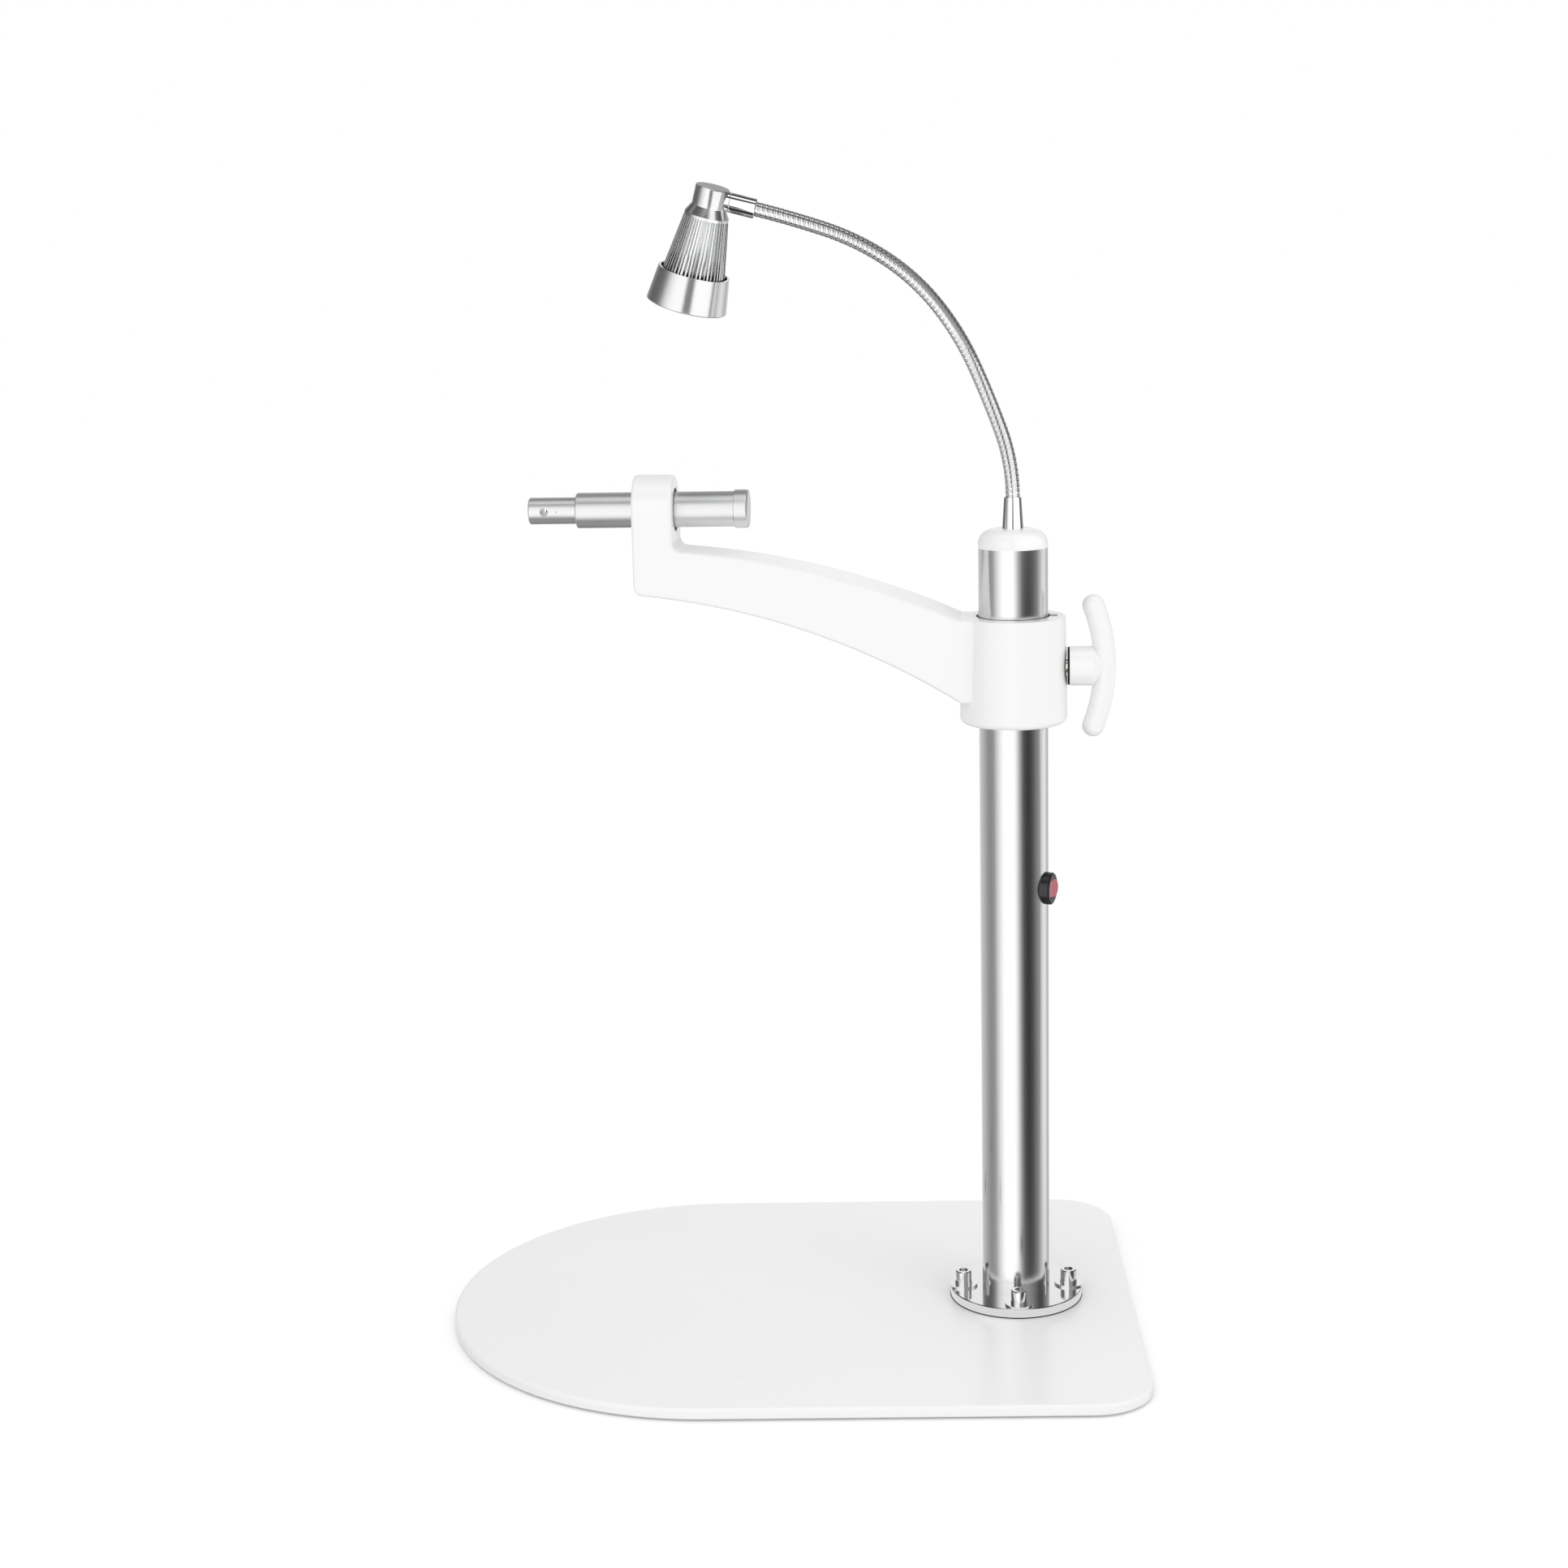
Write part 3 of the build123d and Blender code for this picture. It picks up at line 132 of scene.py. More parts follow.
# The same for rays that leave the metal upwards.
ROOM_HIGH = (
    (-180, 1.05), (-173, 0.85), (-165, 0.42), (-146, 0.30), (-123, 0.15), (-99, 0.16),
    (-86, 0.20), (-74, 0.39), (-62, 0.85), (-51, 1.07), (-39, 1.25), (-11, 1.30), (1, 1.25),
    (6, 0.6), (12, 0.35), (30, 0.45), (45, 0.38), (60, 0.28), (74, 0.18), (86, 0.09),
    (102, 0.10), (118, 0.25), (140, 0.4), (162, 0.6), (170, 0.90), (180, 1.05),
)
# For rays that leave it steeply downwards.
ROOM_LOW = (
    (-180, 0.6), (-150, 0.3), (-128, 0.25), (-112, 0.5), (-97, 0.95), (-85, 1.25), (-20, 1.25),
    (30, 0.9), (60, 0.4), (120, 0.4), (180, 0.6),
)
# Share of that brightness left by steepness of the ray, from straight down to straight up.
STEEP_FRONT = (
    (-1.0, 0.30), (-0.965, 0.25), (-0.94, 0.02), (-0.79, 0.02), (-0.74, 0.5), (-0.66, 1.0),
    (0.60, 1.0), (0.68, 0.5), (0.72, 0.04), (0.87, 0.03), (0.91, 0.5), (0.94, 1.0), (1.0, 1.0),
)
STEEP_BACK = (
    (-1.0, 0.30), (-0.9, 0.12), (-0.75, 0.12), (-0.60, 0.42), (-0.42, 0.8), (-0.32, 1.0),
    (0.38, 1.0), (0.5, 0.5), (0.6, 0.35), (0.80, 0.25), (0.88, 0.03), (0.975, 0.03),
    (0.995, 1.0),
)
# Parts of a ray's direction between which one table gives way to the next.
HIGH_EDGE = (-0.10, -0.07)      # upwards, from ROOM to ROOM_HIGH
LOW_EDGE = (-0.42, -0.47)       # upwards, to ROOM_LOW
BACK_EDGE = (-0.15, 0.15)       # backwards, from STEEP_FRONT to STEEP_BACK
STEEP_EDGE = (0.6, 0.75)        # up or down, to one brightness all round
STEEP_LEVEL = 1.25

# Upright cards beside the metal pieces, which show only in reflections.
BEZEL_PLACE = (-0.0565, 0.011)
CAP_PLACE = (-0.0397, 0.0)
COLLAR_PLACE = (-0.016, 0)
FERRULE_PLACE = (COLUMN_X, 0)
HOSE_PLACE = (0.157, 0.0)
CARDS = (
    # name, centre, distance, compass degrees from and to, height from and to, brightness
    ("bezel bright card", BEZEL_PLACE, 0.1, 11.5, 63, 0.69, 0.80, 1.3),
    ("bezel dark card", BEZEL_PLACE, 0.1, -9, 10.5, 0.72, 0.767, 0.22),
    ("cap dark card", CAP_PLACE, 0.03, -11, 6, 0.803, 0.822, 0.25),
    ("cap rear card", CAP_PLACE, 0.05, 150, 212, 0.826, 0.875, 0.42),
    ("collar bright card", COLLAR_PLACE, 0.035, -24, 24, 0.816, 0.843, 1.25),
    ("ferrule bright card", FERRULE_PLACE, 0.04, 3, 80, 0.573, 0.611, 1.3),
    ("ferrule dark card", FERRULE_PLACE, 0.04, -9, 3, 0.573, 0.611, 0.15),
    ("hose bright card", HOSE_PLACE, 0.04, 12, 72, 0.612, 0.72, 1.05),
    ("hose dark card", HOSE_PLACE, 0.04, -15, 12, 0.612, 0.72, 0.12),
    ("hose left card", HOSE_PLACE, 0.04, -70, -15, 0.612, 0.72, 1.05),
)
FOOT_CARD_R = 0.072
FOOT_CARD_SIDES = 64
FOOT_CARD_Z = 0.0093            # just under the top of the base plate
FOOT_CARD_LEVEL = 0.85


# ---- shader maths ----
class Socket:
    """An output of a shader node. An expression with it adds Math nodes."""

    def __init__(self, shader, socket):
        self.shader = shader
        self.socket = socket

    def __add__(self, other):
        return self.shader.maths("ADD", self, other)

    __radd__ = __add__

    def __sub__(self, other):
        return self.shader.maths("SUBTRACT", self, other)

    def __rsub__(self, other):
        return self.shader.maths("SUBTRACT", other, self)

    def __mul__(self, other):
        return self.shader.maths("MULTIPLY", self, other)

    __rmul__ = __mul__

    def __truediv__(self, other):
        return self.shader.maths("DIVIDE", self, other)

    def __rtruediv__(self, other):
        return self.shader.maths("DIVIDE", other, self)

    def __pow__(self, other):
        return self.shader.maths("POWER", self, other)

    def __rpow__(self, other):
        return self.shader.maths("POWER", other, self)


class Shader:
    """The nodes of a material or of the world."""

    def __init__(self, owner):
        owner.use_nodes = True
        self.owner = owner
        self.tree = owner.node_tree
        self.tree.nodes.clear()

    def add(self, kind, settings=None, inputs=(), output=0):
        """Adds a node, with its settings and then its inputs by number or name.

        Returns one of its outputs, by number or name.
        """
        node = self.tree.nodes.new(kind)
        for name, value in (settings or {}).items():
            if name == "stops":
                ramp = node.color_ramp
                while len(ramp.elements) < len(value):
                    ramp.elements.new(1)
                for element, (place, shade) in zip(ramp.elements, value):
                    element.position = place
                    element.color = (shade, shade, shade, 1)
            else:
                setattr(node, name, value)
        given = inputs.items() if isinstance(inputs, dict) else enumerate(inputs)
        for name, value in given:
            if isinstance(value, Socket):
                self.tree.links.new(value.socket, node.inputs[name])
            else:
                node.inputs[name].default_value = value
        return Socket(self, node.outputs[output]) if node.outputs else None

    def maths(self, operation, *values):
        return self.add("ShaderNodeMath", {"operation": operation}, values)

    def mix(self, factor, first, second, blend="MIX"):
        """Colour between two colours."""
        return self.add(
            "ShaderNodeMix", {"data_type": "RGBA", "blend_type": blend},
            {0: factor, 6: first, 7: second}, 2,
        )

    def step(self, value, start, end):
        """Smooth step from 0 at the start to 1 at the end."""
        return self.add(
            "ShaderNodeMapRange", {"interpolation_type": "SMOOTHSTEP"}, (value, start, end)
        )

    def coordinates(self, place=(0, 0, 0), turn=(0, 0, 0), scale=(1, 1, 1)):
        """Coordinates in metres from a place, along axes turned with a piece."""
        at = self.add("ShaderNodeTexCoord", None, (), "Object")
        if any(place) or any(turn):
            at = self.add(
                "ShaderNodeMapping", {"vector_type": "TEXTURE"}, {0: at, 1: place, 2: turn}
            )
        if scale != (1, 1, 1):
            at = self.add("ShaderNodeVectorMath", {"operation": "MULTIPLY"}, (at, scale))
        return at

    def noise(self, at, scale, detail=2.0):
        return self.add(
            "ShaderNodeTexNoise", None, {"Vector": at, "Scale": scale, "Detail": detail}
        )

    def lathe_lines(self, at, axis, pitch, detail=2.0):
        """Noise that runs in rings about one axis of the coordinates."""
        parts = [self.add("ShaderNodeSeparateXYZ", None, (at,), n) for n in range(3)]
        along_axis = parts.pop(axis)
        from_axis = (parts[0] * parts[0] + parts[1] * parts[1]) ** 0.5
        ring = self.add("ShaderNodeCombineXYZ", None, (along_axis, from_axis, 0.0))
        return self.noise(ring, 1 / pitch, detail)

    def bump(self, height, distance, strength):
        return self.add(
            "ShaderNodeBump", None, {"Strength": strength, "Distance": distance, "Height": height}
        )

    def surface(self, sockets):
        """Closes the material with one principled surface."""
        made = self.add("ShaderNodeBsdfPrincipled", None, sockets)
        self.add("ShaderNodeOutputMaterial", None, {"Surface": made})
        return self.owner


def new_shader(name):
    return Shader(bpy.data.materials.new(name))


# ---- colours ----
COOL = -0.004                   # tint of bare bright metal


def grey(level, warm=0.0):
    return (level * (1 + warm), level, level * (1 - warm), 1)


def darker(colour, share):
    return tuple(channel * share for channel in colour[:3]) + (1,)


# ---- finishes ----
def enamel(name, level):
    """Glossy white enamel with a faint orange peel."""
    shader = new_shader(name)
    at = shader.coordinates()
    cloud = shader.noise(at, scale=9.0)
    speck = shader.noise(at, scale=900.0)
    peel = shader.noise(at, scale=330.0, detail=1.0)
    return shader.surface({
        "Base Color": shader.mix(cloud, grey(level * 0.99, 0.002), grey(level * 1.01, -0.001)),
        "Roughness": 0.24 + 0.05 * cloud + 0.05 * speck,
        "Coat Weight": 0.15,
        "Coat Roughness": 0.2,
        "IOR": 1.5,
        "Normal": shader.bump(peel, distance=0.00005, strength=0.35),
    })


def polished_tube(name):
    """Polished stainless tube with fine lengthwise grain."""
    shader = new_shader(name)
    grain = shader.noise(shader.coordinates(scale=(1, 1, 0.006)), scale=2600.0, detail=3.0)
    cloud = shader.noise(shader.coordinates(scale=(1, 1, 0.2)), scale=30.0)
    return shader.surface({
        "Base Color": shader.mix(grain, grey(0.76, COOL), grey(0.83, COOL)),
        "Metallic": 1.0,
        "Roughness": 0.13 + 0.05 * grain + 0.03 * cloud,
        "Normal": shader.bump(grain, distance=0.00002, strength=0.25),
    })


def mirror_steel(name):
    """Bright steel, faced on a lathe and polished."""
    shader = new_shader(name)
    at = shader.coordinates((COLUMN_X, 0, 0))
    ring = shader.lathe_lines(at, axis=2, pitch=0.0006)
    smear = shader.noise(at, scale=60.0, detail=3.0)
    return shader.surface({
        "Base Color": shader.mix(ring, grey(0.78, COOL), grey(0.84, COOL)),
        "Metallic": 1.0,
        "Roughness": 0.07 + 0.04 * ring + 0.05 * smear,
        "Normal": shader.bump(ring, distance=0.00001, strength=0.2),
    })


def chrome(name, level, roughness):
    """Chromium plate with faint smears."""
    shader = new_shader(name)
    at = shader.coordinates()
    smear = shader.noise(at, scale=140.0, detail=3.0)
    fine = shader.noise(at, scale=1500.0)
    return shader.surface({
        "Base Color": shader.mix(smear, grey(level * 0.96, COOL), grey(level, COOL)),
        "Metallic": 1.0,
        "Roughness": roughness + 0.02 * smear,
        "Normal": shader.bump(fine, distance=0.00001, strength=0.06),
    })


def satin_metal(name, place, turn, axis, level, pitch, roughness, metallic):
    """Turned and bead-blasted metal with rings about its own axis."""
    shader = new_shader(name)
    at = shader.coordinates(place, turn)
    ring = shader.lathe_lines(at, axis, pitch)
    coarse = shader.lathe_lines(at, axis, pitch * 6, detail=1.0)
    sand = shader.noise(at, scale=2400.0)
    return shader.surface({
        "Base Color": shader.mix(ring, grey(level * 0.93, COOL), grey(level * 1.03, COOL)),
        "Metallic": metallic,
        "Roughness": roughness + 0.08 * ring + 0.04 * coarse,
        "Normal": shader.bump(ring * 0.7 + sand * 0.3, distance=0.00003, strength=0.3),
    })


def moulded(name, colour, roughness, grain_size, grain_depth, coat=0.0):
    """Plastic or rubber with a moulded grain."""
    shader = new_shader(name)
    at = shader.coordinates()
    grain = shader.noise(at, 1 / grain_size)
    cloud = shader.noise(at, scale=120.0)
    return shader.surface({
        "Base Color": shader.mix(cloud, darker(colour, 0.85), colour),
        "Roughness": roughness + 0.1 * grain,
        "Coat Weight": coat,
        "Coat Roughness": 0.08,
        "Normal": shader.bump(grain, grain_depth, strength=0.4),
    })


def machined(name, colour, roughness):
    """Bare machined metal."""
    shader = new_shader(name)
    fine = shader.noise(shader.coordinates(), scale=1800.0, detail=3.0)
    return shader.surface({
        "Base Color": shader.mix(fine, darker(colour, 0.88), colour),
        "Metallic": 1.0,
        "Roughness": roughness + 0.12 * fine,
        "Normal": shader.bump(fine, distance=0.00001, strength=0.3),
    })


def phosphor_dome(name):
    """Soft yellow dome over the light source."""
    shader = new_shader(name)
    grain = shader.noise(shader.coordinates(), scale=2500.0)
    return shader.surface({
        "Base Color": shader.mix(grain, (0.88, 0.72, 0.22, 1), (0.95, 0.84, 0.36, 1)),
        "Roughness": 0.25 + 0.15 * grain,
        "Subsurface Weight": 0.2,
        "Subsurface Scale": 0.001,
        "Normal": shader.bump(grain, distance=0.00003, strength=0.3),
    })


def clear_glass(name):
    """Clear lens with faint smears."""
    shader = new_shader(name)
    smear = shader.noise(shader.coordinates(), scale=80.0)
    return shader.surface({
        "Base Color": (0.94, 0.97, 0.97, 1),
        "Roughness": 0.01 + 0.03 * smear,
        "IOR": 1.49,
        "Transmission Weight": 1.0,
    })


FINISHES = {
    "white_enamel_steel": enamel("enamel on steel", level=0.87),
    "white_enamel_alloy": enamel("enamel on alloy", level=0.87),
    "polished_stainless": polished_tube("polished tube"),
    "bright_steel": mirror_steel("mirror steel"),
    "blackened_steel": machined("blackened steel", (0.03, 0.03, 0.033, 1), roughness=0.3),
    "chrome_plate": chrome("bright chrome", level=0.86, roughness=0.03),
    "hose_chrome": chrome("hose chrome", level=0.84, roughness=0.11),
    "satin_aluminium": satin_metal(
        "satin aluminium", (COLUMN_X, 0, SHAFT_Z), (0, 0, ARM_TURN), axis=0,
        level=0.85, pitch=0.00022, roughness=0.33, metallic=0.92,
    ),
    "satin_nickel": satin_metal(
        "satin nickel", tuple(HEAD_PLACE), HEAD_TURN, axis=2,
        level=0.78, pitch=0.00018, roughness=0.15, metallic=1.0,
    ),
    "black_plastic": moulded(
        "black plastic", (0.012, 0.012, 0.014, 1), roughness=0.3,
        grain_size=0.0004, grain_depth=0.00004, coat=0.2,
    ),
    "red_plastic": moulded(
        "red plastic", (0.42, 0.045, 0.085, 1), roughness=0.14,
        grain_size=0.0012, grain_depth=0.00002, coat=0.5,
    ),
    "black_nylon": moulded(
        "black nylon", (0.008, 0.008, 0.008, 1), roughness=0.45,
        grain_size=0.0005, grain_depth=0.00004,
    ),
    "grey_rubber": moulded(
        "grey rubber", (0.12, 0.12, 0.12, 1), roughness=0.75,
        grain_size=0.0006, grain_depth=0.00006,
    ),
    "brass": machined("brass", (0.72, 0.56, 0.28, 1), roughness=0.2),
    "board": moulded(
        "board", (0.85, 0.86, 0.84, 1), roughness=0.35, grain_size=0.0003, grain_depth=0.00001
    ),
    "phosphor": phosphor_dome("phosphor"),
    "bright_reflector": machined("bright reflector", (0.9, 0.9, 0.9, 1), roughness=0.1),
    "clear_lens": clear_glass("clear lens"),
}

for node in NODES.values():
    slot_name = node.data.materials[0].name
    node.data.materials[0] = FINISHES[slot_name]


# ---- tools for making pieces ----
def deselect():
    for thing in bpy.context.selected_objects:
        thing.select_set(False)


def pick(thing):
    deselect()
    thing.select_set(True)
    bpy.context.view_layer.objects.active = thing


def edit_all(thing):
    """Opens a piece in edit mode with all of it selected."""
    pick(thing)
    bpy.ops.object.mode_set(mode="EDIT")
    bpy.ops.mesh.select_all(action="SELECT")


def edit_some(thing, kind, test):
    """Opens a piece in edit mode with the faces or points that pass a test selected."""
    pick(thing)
    bpy.ops.object.mode_set(mode="EDIT")
    bpy.ops.mesh.select_mode(type=kind)
    bpy.ops.mesh.select_all(action="DESELECT")
    bpy.ops.object.mode_set(mode="OBJECT")
    for element in thing.data.polygons if kind == "FACE" else thing.data.vertices:
        element.select = test(element)
    bpy.ops.object.mode_set(mode="EDIT")


def close_up():
    """Merges the points that lie together and turns the faces outwards, in edit mode."""
    bpy.ops.mesh.select_all(action="SELECT")
    bpy.ops.mesh.remove_doubles(threshold=MERGE)
    bpy.ops.mesh.normals_make_consistent(inside=False)


def close_edit():
    bpy.ops.object.mode_set(mode="OBJECT")


def add_to_scene(name, data):
    made = bpy.data.objects.new(name, data)
    bpy.context.scene.collection.objects.link(made)
    return made


def apply_place():
    """Puts the place, turn and size of what is selected into its mesh."""
    bpy.ops.object.transform_apply(location=True, rotation=True, scale=True)


def modify(thing, kind, **settings):
    """Adds a modifier and applies it."""
    pick(thing)
    modifier = thing.modifiers.new(kind, kind)
    for name, value in settings.items():
        setattr(modifier, name, value)
    bpy.ops.object.modifier_apply(modifier=modifier.name)


def cut(thing, place, normal):
    """Cuts away what lies on the side that the normal points to, and closes the cut."""
    edit_all(thing)
    bpy.ops.mesh.bisect(
        plane_co=place, plane_no=normal, use_fill=True, clear_outer=True, clear_inner=False
    )
    close_edit()


def coat(thing, slot_name):
    """Gives a piece one of the finishes."""
    thing.data.materials.clear()
    thing.data.materials.append(FINISHES[slot_name])


# ---- gooseneck ----
def along(heading):
    """Direction of a heading, which leans from up to -X."""
    return Vector((-math.sin(heading), 0, math.cos(heading)))


def neck_route():
    """The (place, heading) of each joint of the gooseneck and of its end, and a link's length."""
    places = [Vector(JOINTS["neck_swivel"]["pos_m"])]
    places += [Vector(JOINTS[f"neck_bend_{n}"]["pos_m"]) for n in range(1, BENDS + 1)]
    headings = [0.0]
    for low, high in zip(places, places[1:]):
        chord = high - low
        headings.append(2 * math.atan2(-chord.x, chord.z) - headings[-1])
    first_half = headings[1] / 2
    link = (places[1] - places[0]).length * first_half / math.sin(first_half)
    half_turn = (END_HEADING - headings[-1]) / 2
    chord = link * math.sin(half_turn) / half_turn
    places.append(places[-1] + chord * along(headings[-1] + half_turn))
    headings.append(END_HEADING)
    return list(zip(places, headings)), link


def neck_curve(route, link):
    """Curve through the joints, with the straight tails in the two ferrules."""
    data = bpy.data.curves.new("neck line", "CURVE")
    data.dimensions = "3D"
    data.resolution_u = LINE_STEPS
    spline = data.splines.new("BEZIER")
    end, heading = route[-1]
    points = [(route[0][0] - Vector((0, 0, HOSE_TAIL)), 0.0)] + route
    points.append((end + HOSE_END * along(heading), heading))
    spline.bezier_points.add(len(points) - 1)
    lengths = [HOSE_TAIL] + [link] * (len(route) - 1) + [HOSE_END]
    for n, (place, heading) in enumerate(points):
        point = spline.bezier_points[n]
        point.handle_left_type = point.handle_right_type = "FREE"
        point.co = place
        point.handle_left = place - along(heading) * lengths[max(n - 1, 0)] / 3
        point.handle_right = place + along(heading) * lengths[min(n, len(lengths) - 1)] / 3
    return add_to_scene("neck line", data)


def hose_profile():
    """Heights and radii over one pitch, with a wide round strip and a narrow ridge."""
    shares = (
        # of the pitch, and of the rise from the groove
        (0.01, 0.0), (0.04, 0.72), (0.09, 0.93), (0.2, 0.99), (0.32, 1.0), (0.44, 0.99),
        (0.55, 0.93), (0.6, 0.72), (0.63, 0.0),
        (0.66, 0.0), (0.68, 0.55), (0.72, 0.78), (0.81, 0.84), (0.9, 0.78), (0.94, 0.55),
        (0.96, 0.0),
    )
    rise = HOSE_R - HOSE_GROOVE_R
    profile = [(height * HOSE_PITCH, HOSE_GROOVE_R + part * rise) for height, part in shares]
    return profile + [(profile[0][0] + HOSE_PITCH, profile[0][1])]


def straight_hose(length):
    """The wound hose before it is bent: a strip profile screwed up the Z axis."""
    profile = hose_profile()
    deselect()
    bpy.ops.mesh.primitive_plane_add(size=HOSE_PITCH)
    hose = bpy.context.object
    edit_all(hose)
    bpy.ops.mesh.merge(type="CENTER")
    height, radius = profile[0]
    bpy.ops.transform.translate(value=(radius, 0, height - HOSE_SPARE_TURNS * HOSE_PITCH))
    for low, high in zip(profile, profile[1:]):
        rise = (high[1] - low[1], 0, high[0] - low[0])
        bpy.ops.mesh.extrude_vertices_move(TRANSFORM_OT_translate={"value": rise})
    close_edit()
    modify(
        hose, "SCREW", axis="Z", angle=2 * math.pi, screw_offset=HOSE_PITCH,
        iterations=math.ceil(length / HOSE_PITCH) + 2 * HOSE_SPARE_TURNS, steps=HOSE_STEPS,
        render_steps=HOSE_STEPS, use_merge_vertices=False, use_smooth_shade=True,
    )
    edit_all(hose)
    close_up()
    close_edit()
    return hose


def link_middles(route, link):
    """The (place, heading) halfway between each two joints of the gooseneck."""
    middles = []
    for (place, heading), (_, next_heading) in zip(route, route[1:]):
        quarter = (next_heading - heading) / 4
        reach = link / 2 * math.sin(quarter) / quarter
        middles.append((place + reach * along(heading + quarter), heading + 2 * quarter))
    return middles


def gooseneck():
    """Seven lengths of hose, joined at the middle of each link."""
    route, link = neck_route()
    total = HOSE_TAIL + link * (len(route) - 1) + HOSE_END
    hose = straight_hose(total)
    cut(hose, (0, 0, 0), (0, 0, -1))
    cut(hose, (0, 0, total), (0, 0, 1))
    edit_all(hose)
    bpy.ops.mesh.fill_holes(sides=0)
    close_edit()
    line = neck_curve(route, link)
    modify(hose, "CURVE", object=line, deform_axis="POS_Z")
    bpy.data.objects.remove(line)

    middles = link_middles(route, link)
    for number in range(len(middles) + 1):
        piece = add_to_scene("neck_hose_%d" % (number + 1), hose.data.copy())
        if number > 0:
            place, heading = middles[number - 1]
            cut(piece, place, -along(heading))
        if number < len(middles):
            place, heading = middles[number]
            cut(piece, place, along(heading))
        pick(piece)
        bpy.ops.object.shade_smooth_by_angle(angle=HOSE_SMOOTH_ANGLE)
        coat(piece, "hose_chrome")
        if number == 0:
            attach(piece, "neck_1")
            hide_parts("neck_link_1")
        elif number == len(middles):
            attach(piece, "neck_%d" % number)
            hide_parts("neck_link_%d" % number)
        else:
            low, high = middles[number - 1][0], middles[number][0]
            edge = (high - low) * BLEND_EDGE
            low + edge
            high - edge
            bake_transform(piece)
            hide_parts("neck_link_%d" % number, "neck_link_%d" % (number + 1))
    bpy.data.objects.remove(hose)


# ---- heat sink of the lamp head, about the head's own upright axis ----
def in_slot(face):
    """Whether a face of the cone lies between two fins."""
    share = math.atan2(face.center.y, face.center.x) / (2 * math.pi)
    return math.floor(share * FIN_FACES * FIN_COUNT) % FIN_FACES < SLOT_FACES


def shrink_selected(share):
    """Draws what is selected in towards the sink's axis, to a share of its radius."""
    bpy.ops.transform.resize(value=(share, share, 1), center_override=(0, 0, 0))


def slotted_cone():
    """Cone with slots that deepen towards its foot."""
    half = (SINK_TOP - SINK_FOOT) / 2
    middle_r = (SINK_TOP_R + SINK_FOOT_R) / 2
    slot_foot_r = SINK_FOOT_R - SLOT_FOOT_DEPTH
    deselect()
    bpy.ops.mesh.primitive_cone_add(
        vertices=FIN_FACES * FIN_COUNT, radius1=middle_r, radius2=SINK_TOP_R,
        depth=half, end_fill_type="NOTHING", location=(0, 0, SINK_TOP - half / 2),
    )
    sink = bpy.context.object
    apply_place()
    edit_some(sink, "VERT", lambda point: point.co.z < SINK_TOP - half / 2)
    bpy.ops.mesh.extrude_region_move(TRANSFORM_OT_translate={"value": (0, 0, -half)})
    shrink_selected(SINK_FOOT_R / middle_r)
    edit_some(sink, "FACE", in_slot)
    bpy.ops.mesh.extrude_region_shrink_fatten(
        TRANSFORM_OT_shrink_fatten={"value": -SLOT_TOP_DEPTH}
    )
    edit_some(
        sink, "VERT",
        lambda point: point.co.z < SINK_FOOT + half / 2
        and point.co.xy.length < SINK_FOOT_R - SLOT_TOP_DEPTH / 2,
    )
    shrink_selected(slot_foot_r / (SINK_FOOT_R - SLOT_TOP_DEPTH))
    edit_all(sink)
    bpy.ops.mesh.fill_holes(sides=0)
    close_edit()
    modify(
        sink, "BEVEL", width=FIN_BEVEL, segments=1, limit_method="ANGLE",
        angle_limit=FIN_BEVEL_ANGLE,
    )
    return sink


def finned_sink():
    """Slotted cone with a round base below it and a spigot on top."""
    sink = slotted_cone()
    for radius, low, high in (
        (SINK_BASE_R, SINK_BASE_LOW, SINK_FOOT + DISC_OVERLAP),
        (SPIGOT_R, SINK_TOP - DISC_OVERLAP, SPIGOT_HIGH),
    ):
        bpy.ops.mesh.primitive_cylinder_add(
            vertices=DISC_SIDES, radius=radius, depth=high - low,
            location=(0, 0, (low + high) / 2),
        )
        disc = bpy.context.object
        pick(sink)
        disc.select_set(True)
        bpy.ops.object.join()
    sink.name = "finned_sink"
    apply_place()
    sink.rotation_euler = HEAD_TURN
    sink.location = HEAD_PLACE
    apply_place()
    bpy.ops.object.shade_smooth_by_angle(angle=FIN_SMOOTH_ANGLE)
    coat(sink, "satin_nickel")
    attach(sink, "head")
    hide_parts("heat_sink")


# ---- black ring round the foot of the flange, a painted contact shadow ----
def flange_shadow_ring():
    """Round black bead, spun about the column, that paints the contact shadow under the flange.
    """
    deselect()
    bpy.ops.mesh.primitive_circle_add(
        vertices=SHADOW_RING_FACES_ACROSS, radius=SHADOW_RING_THICK / 2,
        location=(COLUMN_X + SHADOW_RING_R, 0, SHADOW_RING_Z),
        rotation=(math.pi / 2, math.pi / SHADOW_RING_FACES_ACROSS, 0),
    )
    shadow_ring = bpy.context.object
    # a dark ring of painted shadow where the flange meets the plate
    shadow_ring.name = "flange_shadow_ring"
    apply_place()
    edit_all(shadow_ring)
    bpy.ops.mesh.spin(
        steps=SHADOW_RING_FACES_ROUND, angle=2 * math.pi, center=(COLUMN_X, 0, SHADOW_RING_Z), axis=(0, 0, 1)
    )
    close_up()
    close_edit()
    bpy.ops.object.shade_smooth()
    # black, so that the bead reads as the painted contact shadow under the flange
    coat(shadow_ring, "black_nylon")
    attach(shadow_ring, "stand")


